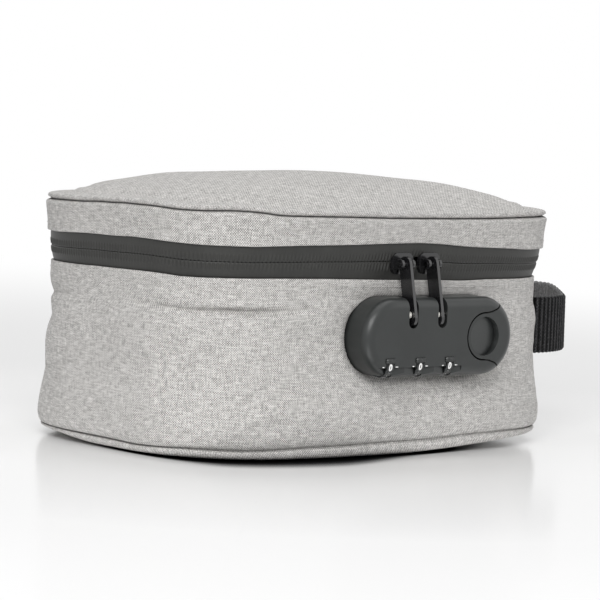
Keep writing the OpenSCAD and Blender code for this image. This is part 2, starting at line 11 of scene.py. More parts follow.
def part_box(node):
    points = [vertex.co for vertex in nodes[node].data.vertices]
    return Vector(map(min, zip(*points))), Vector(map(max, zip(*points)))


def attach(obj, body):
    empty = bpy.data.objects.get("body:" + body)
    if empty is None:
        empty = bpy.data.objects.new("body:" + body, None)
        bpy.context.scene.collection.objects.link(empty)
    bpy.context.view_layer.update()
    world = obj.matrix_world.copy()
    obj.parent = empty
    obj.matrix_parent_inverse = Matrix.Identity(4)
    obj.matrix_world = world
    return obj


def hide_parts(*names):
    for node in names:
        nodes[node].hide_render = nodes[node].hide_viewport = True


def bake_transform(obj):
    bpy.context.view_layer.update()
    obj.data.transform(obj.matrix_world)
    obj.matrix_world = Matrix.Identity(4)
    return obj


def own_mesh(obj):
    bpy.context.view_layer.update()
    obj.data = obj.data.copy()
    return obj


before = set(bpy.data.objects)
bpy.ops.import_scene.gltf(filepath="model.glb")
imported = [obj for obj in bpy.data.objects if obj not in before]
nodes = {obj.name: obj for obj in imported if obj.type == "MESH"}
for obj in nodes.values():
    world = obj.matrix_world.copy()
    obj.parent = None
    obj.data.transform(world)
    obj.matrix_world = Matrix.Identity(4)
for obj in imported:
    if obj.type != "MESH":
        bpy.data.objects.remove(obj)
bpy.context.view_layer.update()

MM = 0.001

# Sizes that the solids share, read from the frame
wall_low, wall_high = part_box("body_wall")
band_low, band_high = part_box("lid_band")
lock_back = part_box("lock_base")[1].y
strap_low, strap_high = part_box("handle_strap")
hinge_low, hinge_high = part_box("hinge_panel")
slider_boxes = [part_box("slider_left"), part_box("slider_right")]


def middle_of(solid):
    low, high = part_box(solid)
    return (low + high) / 2


FOOT_FLARE = 3.2 * MM
LID_FLARE = 3.3 * MM
OUTLINE_POWER = 3.5
half_l = wall_high.x - FOOT_FLARE
half_d = wall_high.y - FOOT_FLARE
seam_z = wall_low.z
hem_z = wall_high.z
lid_hem_z = band_low.z
lid_seam_z = band_high.z
crown_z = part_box("lid_panel")[1].z
zip_z = (hem_z + lid_hem_z) / 2
lock_mid = middle_of("lock_base")
slider_mid = (slider_boxes[0][0].x + slider_boxes[1][1].x) / 2

# Lock case, as the solids have it
LOCK_L = 85.5 * MM
LOCK_H = 33 * MM

# Fabric
CLOTH_T = 1.2 * MM
LOWER_HEM = -0.2 * MM
UPPER_HEM = 2.1 * MM
TAPE_UNDER = 0.85 * MM
PADDING = 5.9 * MM
LINING_T = 0.8 * MM
STRAP_RIB = 2.9 * MM

# Zip
COIL_PITCH = 1.74 * MM
ZIP_FIRST = math.radians(123.75)
ZIP_LAST = math.radians(416.25)
COIL_SHORT = math.radians(5.625)
BACK = math.radians(90)
TURN = 2 * math.pi

# Outline and curves

FINE_STEPS = 60001


def power(v, e):
    return np.sign(v) * np.abs(v) ** e


def plan(offset, t):
    """Points of the rounded outline at angles t, moved out by offset."""
    e = 2 / OUTLINE_POWER
    x = (half_l + offset) * power(np.cos(t), e)
    y = (half_d + offset) * power(np.sin(t), e)
    return np.stack([x, y], -1)


def outward(t):
    """Unit normals of the outline at angles t."""
    e = 2 - 2 / OUTLINE_POWER
    x = power(np.cos(t), e) / half_l
    y = power(np.sin(t), e) / half_d
    return unit(np.stack([x, y, np.zeros_like(x)], -1))


def outline_angle(points):
    """Angle on the outline of each point."""
    e = OUTLINE_POWER / 2
    return np.arctan2(power(points[..., 1] / half_d, e), power(points[..., 0] / half_l, e)) % TURN


def unit(vectors):
    return vectors / np.linalg.norm(vectors, axis=-1, keepdims=True)


def lengths_along(path):
    """Length walked along a path at each of its points."""
    return np.append(0, np.cumsum(np.linalg.norm(np.diff(path, axis=0), axis=1)))


def points_at(at, walked, path):
    """Points of a path at given lengths along it."""
    return np.stack([np.interp(at, walked, way) for way in path.T], -1)


def even_angles(count, first, last):
    """Angles that walk the outline in equal lengths, and the length walked at each."""
    t = np.linspace(first, last, FINE_STEPS)
    walked = lengths_along(plan(0, t))
    at = np.linspace(0, walked[-1], count)
    return np.interp(at, walked, t), at


def round_angles(count):
    """Even angles once round the outline from the back, and the length walked at each."""
    t, u = even_angles(count + 1, BACK, BACK + TURN)
    return t[:-1], u[:-1]


def plan_length(first, last):
    return even_angles(2, first, last)[1][-1]


def place_along(degrees, t, u):
    """Length along the outline at which an angle lies."""
    return np.interp(math.radians(degrees if degrees > 90 else degrees + 360), t, u)


def smooth_curve(xs, ys, at):
    """Cubic through the given points that never overshoots them."""
    xs, ys, at = (np.asarray(a, float) for a in (xs, ys, at))
    h = np.diff(xs)
    d = np.diff(ys) / h
    same = d[:-1] * d[1:] > 0
    w1, w2 = 2 * h[1:] + h[:-1], h[1:] + 2 * h[:-1]
    inner = np.zeros(len(d) - 1)
    inner[same] = (w1 + w2)[same] / (w1[same] / d[:-1][same] + w2[same] / d[1:][same])
    m = np.concatenate([[d[0]], inner, [d[-1]]])
    i = np.clip(np.searchsorted(xs, at) - 1, 0, len(h) - 1)
    s = np.clip((at - xs[i]) / h[i], 0, 1)
    a, b = ys[i], ys[i + 1]
    hermite = (1 + 2 * s) * (1 - s) ** 2 * a + s * s * (3 - 2 * s) * b
    return hermite + s * (1 - s) ** 2 * h[i] * m[i] - s * s * (1 - s) * h[i] * m[i + 1]


def profile_at(rows, at):
    """Smooth profile through rows of a place and a value in millimetres."""
    return smooth_curve(*np.array(rows, float).T, at) * MM


def smoothstep(low, high, v):
    s = np.clip((v - low) / (high - low), 0, 1)
    return s * s * (3 - 2 * s)


def plateau(v, first, full, fading, last):
    """Rises smoothly from 0 to 1 and falls back to 0."""
    return smoothstep(first, full, v) * (1 - smoothstep(fading, last, v))


def bump(v, centre, half_width):
    return np.exp(-(((v - centre) / half_width) ** 2))


def soft_noise(u, v, seed, waves=14, shortest=0.03, longest=0.16):
    """Sum of random long waves, about -1 to 1."""
    rng = np.random.default_rng(seed)
    total = np.zeros(np.broadcast(u, v).shape)
    for _ in range(waves):
        k = TURN / rng.uniform(shortest, longest)
        a = rng.uniform(0, TURN)
        total += np.sin(k * (u * math.cos(a) + v * math.sin(a)) + rng.uniform(0, TURN))
    return total / math.sqrt(2 * waves)


# Sag of the soft case. Each list gives an angle on the outline in degrees and a rise in millimetres

BOTTOM_SEAM_RISE = [
    (90, 1.5), (165, 0.2), (178, 0.2), (190, -0.4), (200, 0.0), (212, 0.4), (235, 0.0), (245, 0.4),
    (252, 0.8), (266, 1.4), (270, 1.9), (279, 3.2), (292, 3.5), (306, 3.3), (345, 3.0), (450, 1.5),
]
LOWER_HEM_RISE = [
    (90, 0.2), (174, 0.5), (183, 1.0), (190, 1.1), (197, 0.9), (205, 0.4), (214, 0.4), (222, 0.55),
    (236, 0.75), (245, 0.9), (255, 0.9), (265, 0.5), (272, -0.1), (277, -0.5), (285, -0.2), (305, -0.4),
    (450, 0.2),
]
UPPER_HEM_RISE = [
    (90, 0), (162, -0.5), (180, 0.7), (186, 1.2), (200, 0.6), (215, 0.2), (232, 0.2), (242, 0.7),
    (255, 1.25), (266, 1.4), (277, 0.3), (288, -0.3), (302, -1.2), (340, -1.4), (450, 0),
]
LID_SEAM_RISE = [
    (90, 0.5), (155, 0.4), (168, 0.7), (176, 1.0), (183, 2.1), (190, 2.1), (205, 1.4), (212, 1.45),
    (227, 2.0), (236, 1.5), (243, 0.6), (262, 0.4), (272, 0.0), (300, 0.4), (450, 0.5),
]
SEAM_RISES = (BOTTOM_SEAM_RISE, LOWER_HEM_RISE, UPPER_HEM_RISE, LID_SEAM_RISE)
# Extra rise of the upper hem over the sliders, and the share of the lid seam's rise that reaches the crown
SLIDER_LIFT = 1.1 * MM
SLIDER_LIFT_HALF = 26 * MM
CROWN_SHARE = 0.3
# The case leans to the right below and above its zip: how far, and between which heights
FOOT_LEAN = 1.2 * MM
FOOT_LEAN_Z = (20 * MM, 42 * MM)
LID_LEAN = 0.8 * MM
LID_LEAN_Z = (74 * MM, 87 * MM)


def rise_at(rises, t):
    degrees = np.degrees(t)
    return profile_at(rises, np.where(degrees < 90, degrees + 360, degrees))


def drape(points, t):
    """Points moved with the sag of seams and hems, and leaned a little along the case."""
    x, y, z = np.moveaxis(points, -1, 0)
    levels = [0, seam_z, hem_z, lid_hem_z, lid_seam_z, crown_z]
    lift = np.zeros_like(z)
    bottom, lower, upper, lid = (rise_at(rises, t) + lift for rises in SEAM_RISES)
    upper += SLIDER_LIFT * bump(x, slider_mid, SLIDER_LIFT_HALF) * (y < 0)
    rises = [np.zeros_like(z), bottom, lower, upper, lid, lid * CROWN_SHARE]
    for low, high, a, b in zip(levels, levels[1:], rises, rises[1:]):
        share = np.clip((z - low) / (high - low), 0, 1)
        here = (z >= low) & (z < high) | ((z >= high) & (high == crown_z))
        lift = np.where(here, a + (b - a) * share, lift)
    lean = FOOT_LEAN * (1 - smoothstep(*FOOT_LEAN_Z, z)) + LID_LEAN * smoothstep(*LID_LEAN_Z, z)
    return np.stack([x + lean, y, z + lift], -1)


def tape_offset(z):
    """Offset of the zip's outer face, which leans from the lower hem out to the upper one."""
    return np.interp(z, [hem_z, lid_hem_z], [LOWER_HEM - TAPE_UNDER, UPPER_HEM - TAPE_UNDER])


# Meshes


def linked(name, data):
    """New object in the scene."""
    obj = bpy.data.objects.new(name, data)
    bpy.context.scene.collection.objects.link(obj)
    return obj


def new_object(name, points, faces, material, uv=None, smooth=True):
    mesh = bpy.data.meshes.new(name)
    mesh.from_pydata(np.asarray(points, float).reshape(-1, 3).tolist(), [], np.asarray(faces).tolist())
    if uv is not None:
        layer = mesh.uv_layers.new(name="weave")
        layer.uv.foreach_set("vector", np.asarray(uv, np.float32).ravel())
    mesh.polygons.foreach_set("use_smooth", np.full(len(mesh.polygons), smooth))
    if material is not None:
        mesh.materials.append(material)
    return linked(name, mesh)


def declare(obj, body, slot, *solids):
    """Says which body a piece rides on and which solids it stands for. slot, the finish it takes, is not
    used.
    """
    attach(obj, body)
    if solids:
        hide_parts(*solids)


def face_out(obj, ends=()):
    """Fills the open ends, each a list of points, and turns all faces of the closed mesh outwards."""
    bm = bmesh.new()
    bm.from_mesh(obj.data)
    bm.verts.ensure_lookup_table()
    for end in ends:
        bm.faces.new([bm.verts[i] for i in end])
    bmesh.ops.recalc_face_normals(bm, faces=bm.faces)
    bm.to_mesh(obj.data)
    bm.free()
    return obj


def grid_faces(rows, cols, wrap_rows, wrap_cols):
    """Faces between rows of points, and the row and column of each."""
    r = np.arange(rows if wrap_rows else rows - 1)
    c = np.arange(cols if wrap_cols else cols - 1)
    r, c = np.meshgrid(r, c, indexing="ij")
    up, on = (r + 1) % rows, (c + 1) % cols
    corners = [r * cols + c, r * cols + on, up * cols + on, up * cols + c]
    return np.stack(corners, -1).reshape(-1, 4), (r, c)


def loft(name, points, u, v, material, capped=False):
    """Closed skin over closed rows of points. u and v are lengths along the rows and across them.
    The last row joins the first, or the two are filled as caps."""
    rows, cols = points.shape[:2]
    faces, (r, c) = grid_faces(rows, cols, not capped, True)
    u = np.append(u, 2 * u[-1] - u[-2])
    v = np.append(v, 2 * v[-1] - v[-2])
    corners = [(u[c], v[r]), (u[c + 1], v[r]), (u[c + 1], v[r + 1]), (u[c], v[r + 1])]
    uv = np.stack([np.stack(p, -1) for p in corners], -2).reshape(-1, 2)
    ends = [range(cols), range((rows - 1) * cols, rows * cols)] if capped else []
    return face_out(new_object(name, points, faces, material, uv), ends)


def strip_loft(name, skin, u, v, material):
    """Closed strip: rows run round its section, columns along it, and both ends are filled."""
    return loft(name, np.swapaxes(skin, 0, 1), v, u, material, capped=True)


def tube(name, path, radius, sides, material):
    """Round tube along a path, with filled ends."""
    run = unit(np.gradient(path, axis=0))
    side = np.cross(run, np.array([0.0, 0.0, 1.0]))
    upright = np.linalg.norm(side, axis=1) < 0.05
    side[upright] = np.cross(run[upright], np.array([1.0, 0.0, 0.0]))
    side = unit(side)
    up = np.cross(side, run)
    a = (np.arange(sides) * TURN / sides)[None, :, None]
    points = path[:, None] + radius * (side[:, None] * np.cos(a) + up[:, None] * np.sin(a))
    return loft(name, points, np.arange(sides) * radius, lengths_along(path), material, capped=True)


def raised(xy, z):
    """Points in plan, each at its height."""
    return np.concatenate([xy, np.broadcast_to(z, xy.shape[:-1])[..., None]], -1)


def ring_points(offsets, heights, t):
    """Rows of the outline, one for each offset and height."""
    return raised(plan(np.asarray(offsets)[:, None], t), np.asarray(heights)[:, None])


def inner_rows(profile, t):
    """Draped rows of an inside profile, with their offsets and heights."""
    offsets, heights = np.array(profile).T
    heights = heights * MM
    return drape(ring_points(offsets, heights, t), t), offsets, heights


def ring_loft(name, outer, inner, u, material):
    """Closed ring of cloth. outer and inner each hold rows of points, their offsets and their heights."""
    rows, offsets, heights = (np.concatenate(both) for both in zip(outer, inner))
    return loft(name, rows, u, lengths_along(np.stack([offsets, heights], -1)), material)


# Cloth simulation

CLOTH = {
    "quality": 6,
    "mass": 0.25,
    "tension_stiffness": 30,
    "compression_stiffness": 20,
    "shear_stiffness": 8,
    "bending_stiffness": 1.5,
    "vertex_group_mass": "held",
    "use_pressure": True,
}
CLOTH_FRAMES = 18
LEAST_HOLD = 0.01


def settle(name, points, faces, held, pressure, slack, cap):
    """Points after a cloth simulation, none further than cap from its start. Held points stay."""
    start = points.reshape(-1, 3)
    obj = new_object(name, start, faces, None)
    group = obj.vertex_groups.new(name="held")
    weights = held.ravel()
    for i in np.flatnonzero(weights > LEAST_HOLD):
        group.add([int(i)], float(weights[i]), "REPLACE")
    cloth = obj.modifiers.new("cloth", "CLOTH")
    for key, value in CLOTH.items():
        setattr(cloth.settings, key, value)
    cloth.settings.shrink_min = -slack
    cloth.settings.uniform_pressure_force = pressure
    cloth.settings.effector_weights.gravity = 0
    cloth.collision_settings.use_collision = False
    cloth.point_cache.frame_start = 1
    cloth.point_cache.frame_end = CLOTH_FRAMES
    scene = bpy.context.scene
    for f in range(1, CLOTH_FRAMES + 1):
        scene.frame_set(f)
    done = obj.evaluated_get(bpy.context.evaluated_depsgraph_get())
    moved = np.zeros(len(start) * 3)
    done.data.vertices.foreach_get("co", moved)
    scene.frame_set(1)
    bpy.data.objects.remove(obj)
    step = moved.reshape(-1, 3) - start
    far = np.linalg.norm(step, axis=1, keepdims=True)
    step *= np.minimum(1, cap / np.maximum(far, 1e-9))
    return (start + step).reshape(points.shape)


# Panels that fill the outline


def panel_square(count):
    """Ring number and outline direction of each point of a square grid."""
    i, j = np.meshgrid(np.arange(-count, count + 1), np.arange(-count, count + 1), indexing="xy")
    ring = np.maximum(np.abs(i), np.abs(j))
    norm = (np.abs(i) ** OUTLINE_POWER + np.abs(j) ** OUTLINE_POWER) ** (1 / OUTLINE_POWER)
    norm[ring == 0] = 1
    return ring, i / norm, j / norm


def panel_points(scale, offset, height):
    """Square grid of points on rings of the outline. Each list runs from the middle to the edge."""
    ring, dx, dy = panel_square(len(scale) - 1)
    x = (half_l * scale + offset)[ring] * dx
    y = (half_d * scale + offset)[ring] * dy
    return np.stack([x, y, height[ring]], -1)


def panel_shell(name, outer, inner, material, spill=0.0):
    """Closed panel between an outer and an inner square grid."""
    side = outer.shape[0]
    faces = grid_faces(side, side, False, False)[0]
    count = side * side
    index = np.arange(count).reshape(side, side)
    edge = np.concatenate([index[0], index[1:, -1], index[-1, -2::-1], index[-2:0:-1, 0]])
    on = np.roll(edge, -1)
    rim = np.stack([edge, on, on + count, edge + count], -1)
    points = np.concatenate([outer.reshape(-1, 3), inner.reshape(-1, 3)])
    all_faces = np.concatenate([faces, faces[:, ::-1] + count, rim])
    flat = [(grid[..., :2] + spill).reshape(-1, 2) for grid in (outer, inner)]
    uv = np.concatenate(flat)[all_faces.ravel()]
    return face_out(new_object(name, points, all_faces, material, uv))


def edge_spill(grid, scale, offset, height):
    """How far the cloth of a panel reaches past its outline when laid flat, for the weave."""
    radius = scale * half_d + offset
    longer = np.hypot(np.diff(radius), np.diff(height)) - np.diff(radius)
    extra = np.append(0, np.cumsum(longer))
    ring = panel_square(len(scale) - 1)[0]
    return outward(outline_angle(grid))[..., :2] * extra[ring][..., None]


# Shader nodes


def new_material(name):
    mat = bpy.data.materials.new(name)
    mat.use_nodes = True
    return mat, mat.node_tree, mat.node_tree.nodes["Principled BSDF"]


def wire(tree, node, links):
    """Sets inputs of a node, each to a value or to another node's output."""
    for key, value in links.items():
        if isinstance(value, bpy.types.NodeSocket):
            tree.links.new(value, node.inputs[key])
        else:
            node.inputs[key].default_value = value


def add(tree, kind, links=None, **settings):
    """New node with its settings and inputs."""
    node = tree.nodes.new(kind)
    for key, value in settings.items():
        setattr(node, key, value)
    wire(tree, node, links or {})
    return node


def calc(tree, operation, a, b=0.0, c=0.0, **settings):
    return add(tree, "ShaderNodeMath", {0: a, 1: b, 2: c}, operation=operation, **settings).outputs[0]


def vector_calc(tree, operation, a, b=(0.0, 0.0, 0.0)):
    return add(tree, "ShaderNodeVectorMath", {0: a, 1: b}, operation=operation).outputs


def ramp(tree, value, stops):
    node = add(tree, "ShaderNodeValToRGB", {"Fac": value})
    elements = node.color_ramp.elements
    while len(elements) < len(stops):
        elements.new(0.5)
    for element, (place, colour) in zip(elements, stops):
        element.position = place
        element.color = (*colour, 1)
    return node.outputs["Color"]


def greys(*stops):
    """Ramp stops of plain grey."""
    return [(place, (tone, tone, tone)) for place, tone in stops]


def tones(colour, spread):
    """Ramp stops from a darker to a paler tone of a colour."""
    return [(place, tuple(c * (1 + s * spread) for c in colour)) for place, s in ((0.3, -1), (0.7, 1))]


def noise(tree, place, scale, detail=2.0, roughness=0.5):
    links = {"Vector": place, "Scale": scale, "Detail": detail, "Roughness": roughness}
    return add(tree, "ShaderNodeTexNoise", links).outputs["Fac"]


def stretched(tree, place, scale, turn=(0.0, 0.0, 0.0)):
    return add(tree, "ShaderNodeMapping", {"Vector": place, "Scale": scale, "Rotation": turn}).outputs[0]


def object_place(tree):
    return add(tree, "ShaderNodeTexCoord").outputs["Object"]


def weave_place(tree):
    """Place on the cloth laid flat, and its parts along and across the cloth."""
    place = add(tree, "ShaderNodeUVMap", uv_map="weave").outputs["UV"]
    parts = add(tree, "ShaderNodeSeparateXYZ", {0: place}).outputs
    return place, parts[0], parts[1]


def openness(tree, reach, samples):
    """1 where nothing stands within the reach of a surface, and less where it is closed in."""
    return add(tree, "ShaderNodeAmbientOcclusion", {"Distance": reach}, samples=samples).outputs["AO"]


def bump_into(tree, shader, height, strength, distance):
    node = add(tree, "ShaderNodeBump", {"Height": height, "Strength": strength, "Distance": distance})
    wire(tree, shader, {"Normal": node.outputs["Normal"]})


# Materials

# Painted shade: how dark the colour gets in the seams of the cloth and in the hollows of moulded parts
PAINTED_SEAM_SHADE = greys((0.3, 0.55), (0.62, 1.0))
PAINTED_HOLLOW_SHADE = greys((0.25, 0.12), (0.78, 1.0))
HOLLOW_SAMPLES = 8
FABRIC_STOPS = [
    (0.22, (0.190, 0.184, 0.177)),
    (0.42, (0.410, 0.399, 0.386)),
    (0.58, (0.585, 0.571, 0.554)),
    (0.80, (0.870, 0.852, 0.830)),
]
LINING_STOPS = [(0.25, (0.020, 0.020, 0.022)), (0.5, (0.035, 0.035, 0.038)), (0.8, (0.065, 0.065, 0.07))]
# Paler tones of the webbing for the handle's inner face: a painted sheen
PAINTED_SHEEN_STOPS = [(0.25, (0.09, 0.09, 0.091)), (0.5, (0.20, 0.20, 0.202)), (0.8, (0.36, 0.36, 0.362))]
WEBBING_STOPS = [(0.2, (0.001, 0.001, 0.001)), (0.5, (0.005, 0.005, 0.0055)), (0.85, (0.075, 0.075, 0.078))]
TAPE_STOPS = [(0.3, (0.016, 0.016, 0.0145)), (0.7, (0.033, 0.033, 0.0305))]
TAPE_RIB = 0.5 * MM
# Noise of the weft is taken this far from that of the warp
WEFT_APART = 40.0
# Noises: scale, detail and roughness
PATCHES = (60.0, 3.0, 0.6)
CLOUDS = (60.0, 4.0, 0.55)
FILM = (70.0, 4.0, 0.6)
STREAKS = (1.0, 3.0, 0.6)
STREAK_SCALE = (40.0, 1400.0, 1.0)
SCUFFS = (1.0, 5.0, 0.7)
SCUFF_SCALE = (90.0, 500.0, 260.0)
SCUFF_TURN = (0.3, 0.5, 0.2)
# Grain of a surface: how fine it is and how deep
MOULDED = (2600.0, 0.04 * MM)
PLATED = (900.0, 0.02 * MM)
BRUSHED = (1500.0, 0.02 * MM)
PAINTED = (3000.0, 0.02 * MM)


def shaded_hollows(tree, colour, reach, stops):
    """Painted shade: colour made darker where the surface is closed in within the reach, and that shade."""
    shade = ramp(tree, openness(tree, reach, HOLLOW_SAMPLES), stops)
    return vector_calc(tree, "MULTIPLY", colour, shade)["Vector"], shade


def weave(tree, u, v, run, slub):
    """Tone of the thread that lies on top, 0 to 1 from warp to weft, and the height of the crossings."""
    warp_at = add(tree, "ShaderNodeCombineXYZ", {0: u, 1: calc(tree, "DIVIDE", v, run)})
    weft_at = add(tree, "ShaderNodeCombineXYZ", {0: calc(tree, "DIVIDE", u, run), 1: v, 2: WEFT_APART})
    warp, weft = (noise(tree, at.outputs[0], slub, 1.0) for at in (warp_at, weft_at))
    waves = [calc(tree, "SINE", calc(tree, "MULTIPLY", way, math.pi)) for way in (u, v)]
    over = calc(tree, "MULTIPLY", *waves)
    side = calc(tree, "MULTIPLY_ADD", over, 1.2, 0.5, use_clamp=True)
    tone = add(tree, "ShaderNodeMix", {"Factor": side, "A": warp, "B": weft}).outputs["Result"]
    return tone, side, calc(tree, "ABSOLUTE", over)


def woven(
    name, thread, stops, sheen=0.1, bump_strength=0.5, run=7.0, patchy=0.16, unlike=0.0, shine=0.25,
    rough=0.85, slub=1.0, ribs=0.0, hollow=0.0,
):
    """Plain weave of threads that vary along their length. unlike sets how far the weft is darker than the
    warp, slub how often the tone changes from thread to thread, ribs the pitch of painted shade in the
    grooves between the ribs, and hollow the reach over which seams get painted shade."""
    mat, tree, shader = new_material(name)
    place, along, across = weave_place(tree)
    u, v = (calc(tree, "DIVIDE", way, thread) for way in (along, across))
    tone, side, crossing = weave(tree, u, v, run, slub)
    gap = calc(tree, "MULTIPLY_ADD", crossing, 0.16, -0.06)
    patch = noise(tree, place, *PATCHES)
    soft = calc(tree, "MULTIPLY_ADD", patch, patchy, -patchy / 2)
    contrast = calc(tree, "MULTIPLY_ADD", side, -unlike, unlike / 2)
    shade = calc(tree, "ADD", calc(tree, "ADD", tone, gap), calc(tree, "ADD", soft, contrast))
    # Painted shade in the grooves between the ribs
    if ribs:
        crest = calc(tree, "COSINE", calc(tree, "MULTIPLY", across, math.pi / ribs))
        painted_groove_shade = calc(tree, "MULTIPLY_ADD", calc(tree, "ABSOLUTE", crest), 0.7, -0.50)
        shade = calc(tree, "ADD", shade, painted_groove_shade)
    colour = ramp(tree, shade, stops)
    # Painted shade in the seams
    if hollow:
        colour = shaded_hollows(tree, colour, hollow, PAINTED_SEAM_SHADE)[0]
    looks = {"Base Color": colour, "Roughness": rough, "Specular IOR Level": shine}
    wire(tree, shader, looks | {"Sheen Weight": sheen, "Sheen Roughness": 0.5})
    bump_into(tree, shader, calc(tree, "ADD", crossing, tone), bump_strength, thread / 3)
    return mat


def grained(name, colour, spread, roughness, grain, specular=0.5, metallic=0.0, scratch=0.12, hollow=0.0):
    """Moulded or plated surface with a grain, a cloudy tone and faint scuffs. Hollows can get painted
    shade.
    """
    mat, tree, shader = new_material(name)
    place = object_place(tree)
    tone = ramp(tree, noise(tree, place, *CLOUDS), tones(colour, spread))
    # Painted shade in the hollows, which also dims their reflection
    if hollow:
        tone, shade = shaded_hollows(tree, tone, hollow, PAINTED_HOLLOW_SHADE)
        specular = calc(tree, "MULTIPLY", shade, specular)
    scuff = noise(tree, stretched(tree, place, SCUFF_SCALE, SCUFF_TURN), *SCUFFS)
    rough = calc(tree, "MULTIPLY_ADD", scuff, scratch, roughness - scratch / 2)
    looks = {"Base Color": tone, "Roughness": rough, "Specular IOR Level": specular, "Metallic": metallic}
    wire(tree, shader, looks)
    fineness, depth = grain
    bump_into(tree, shader, noise(tree, place, fineness, 3.0, 0.6), 0.35, depth)
    return mat


def coated_tape(name):
    """Zip tape with a thin rubbery film over its weave."""
    mat, tree, shader = new_material(name)
    place, _, across = weave_place(tree)
    film = noise(tree, place, *FILM)
    streak = noise(tree, stretched(tree, place, STREAK_SCALE), *STREAKS)
    tone = calc(tree, "MULTIPLY_ADD", film, 0.6, calc(tree, "MULTIPLY", streak, 0.4))
    rough = calc(tree, "MULTIPLY_ADD", film, 0.16, 0.42)
    looks = {"Base Color": ramp(tree, tone, TAPE_STOPS), "Roughness": rough, "Specular IOR Level": 0.45}
    wire(tree, shader, looks)
    rib = calc(tree, "SINE", calc(tree, "MULTIPLY", across, TURN / TAPE_RIB))
    bump_into(tree, shader, calc(tree, "MULTIPLY_ADD", rib, 0.15, streak), 0.2, 0.06 * MM)
    return mat


def spun(name, colour, spread, twist=0.7 * MM):
    """Sewing thread or nylon: a fine twist and uneven tone."""
    mat, tree, shader = new_material(name)
    place = object_place(tree)
    tone = ramp(tree, noise(tree, place, 900.0), tones(colour, spread))
    wire(tree, shader, {"Base Color": tone, "Roughness": 0.6})
    twists = {"Vector": place, "Scale": 1 / twist, "Distortion": 1.0}
    wave = add(tree, "ShaderNodeTexWave", twists, bands_direction="DIAGONAL")
    bump_into(tree, shader, wave.outputs["Fac"], 0.3, 0.08 * MM)
    return mat


# The fabric gets painted shade in its seams and creases
fabric = woven(
    "heather_fabric", 0.48 * MM, FABRIC_STOPS, run=6.0, patchy=0.06, unlike=0.44, slub=0.78, hollow=1.6 * MM
)
lining = woven("dark_lining", 0.35 * MM, LINING_STOPS, sheen=0.2, bump_strength=0.4)
webbing = woven(
    "black_webbing", 0.7 * MM, WEBBING_STOPS, sheen=0.0, bump_strength=0.8, run=2.0, patchy=0.1, unlike=0.3,
    shine=0.1, rough=0.6, ribs=STRAP_RIB,
)
# Paler copy of the black webbing for the inner face: painted sheen
painted_sheen_webbing = woven("painted_sheen_webbing", 0.7 * MM, PAINTED_SHEEN_STOPS, sheen=0.2, bump_strength=0.6, run=3.0)
tape = coated_tape("coated_zip_tape")
nylon = spun("coil_nylon", (0.016, 0.016, 0.017), 0.3, 0.4 * MM)
grey_thread = spun("grey_thread", (0.56, 0.55, 0.535), 0.2)
# The lock's plastics get painted shade in their recesses
lock_plastic = grained("lock_plastic", (0.027, 0.0295, 0.029), 0.10, 0.32, MOULDED, 0.42, hollow=3 * MM)
dial_plastic = grained("dial_plastic", (0.024, 0.026, 0.026), 0.10, 0.36, MOULDED, 0.4, hollow=2 * MM)
black_metal = grained("black_plated_metal", (0.010, 0.010, 0.011), 0.20, 0.20, PLATED, 0.8, scratch=0.15)
pin_metal = grained("black_nickel", (0.13, 0.13, 0.135), 0.15, 0.24, PLATED, metallic=1.0, scratch=0.15)
keeper_metal = grained("brushed_nickel", (0.86, 0.84, 0.79), 0.06, 0.42, BRUSHED, metallic=0.4, scratch=0.2)
steel = grained("bright_steel", (0.74, 0.73, 0.71), 0.08, 0.26, BRUSHED, metallic=1.0, scratch=0.2)
paint = grained("white_figures", (0.86, 0.86, 0.85), 0.05, 0.5, PAINTED)

DIAL_NAMES = ("dial_1", "dial_2", "dial_3")

for material, solids in (
    (lock_plastic, ("lock_base", "lock_cover", "release_button")),
    (dial_plastic, DIAL_NAMES),
    (black_metal, ("slider_left", "slider_right", "pull_left", "pull_right")),
    (pin_metal, ("pull_pin_left", "pull_pin_right")),
    (steel, ("dial_shaft", "latch_bar", "lock_backplate", "lock_screws")),
):
    for solid in solids:
        nodes[solid].data.materials.clear()
        nodes[solid].data.materials.append(material)


# Lower wall

WALL_COLUMNS = 320
# Heights of the rows in millimetres, closest at the seam, round the folds and at the hem
WALL_ROWS = np.r_[4.35, 4.6, 5.1, 5.8, 6.8, 8:54:1.6, 54.2:65:0.7, 65.6:70:1.5, 70.6, 71.6, 72.4, 73]
# Height and offset in millimetres
WALL_PROFILE = [
    (4.35, -0.8), (4.6, 0.9), (5.1, 2.0), (7.5, 2.9), (10.0, 3.1), (15.0, 2.7), (21.0, 1.9), (28.0, 1.3),
    (39.0, 0.9), (52.0, 1.1), (57.0, 0.6), (62.0, -0.3), (66.0, -0.5), (70.0, -0.2), (73.0, -0.2),
]
# Inside of the wall from its hem down to the seam: offset, and height in millimetres
WALL_INSIDE = [
    (LOWER_HEM - 0.15 * MM, 73.25), (LOWER_HEM - 0.6 * MM, 73.3), (LOWER_HEM - 1.05 * MM, 73.1),
    (LOWER_HEM - CLOTH_T, 72.6), (LOWER_HEM - CLOTH_T, 68.8), (-PADDING, 65.5), (-PADDING - 1.2 * MM, 50.0),
    (-PADDING - 1.0 * MM, 34.0), (-PADDING + 2.0 * MM, 12.0), (-3.0 * MM, 6.5), (0.0, 4.6),
]
HEM_ROWS = 5
PADDED_FRONT = 8.6 * MM
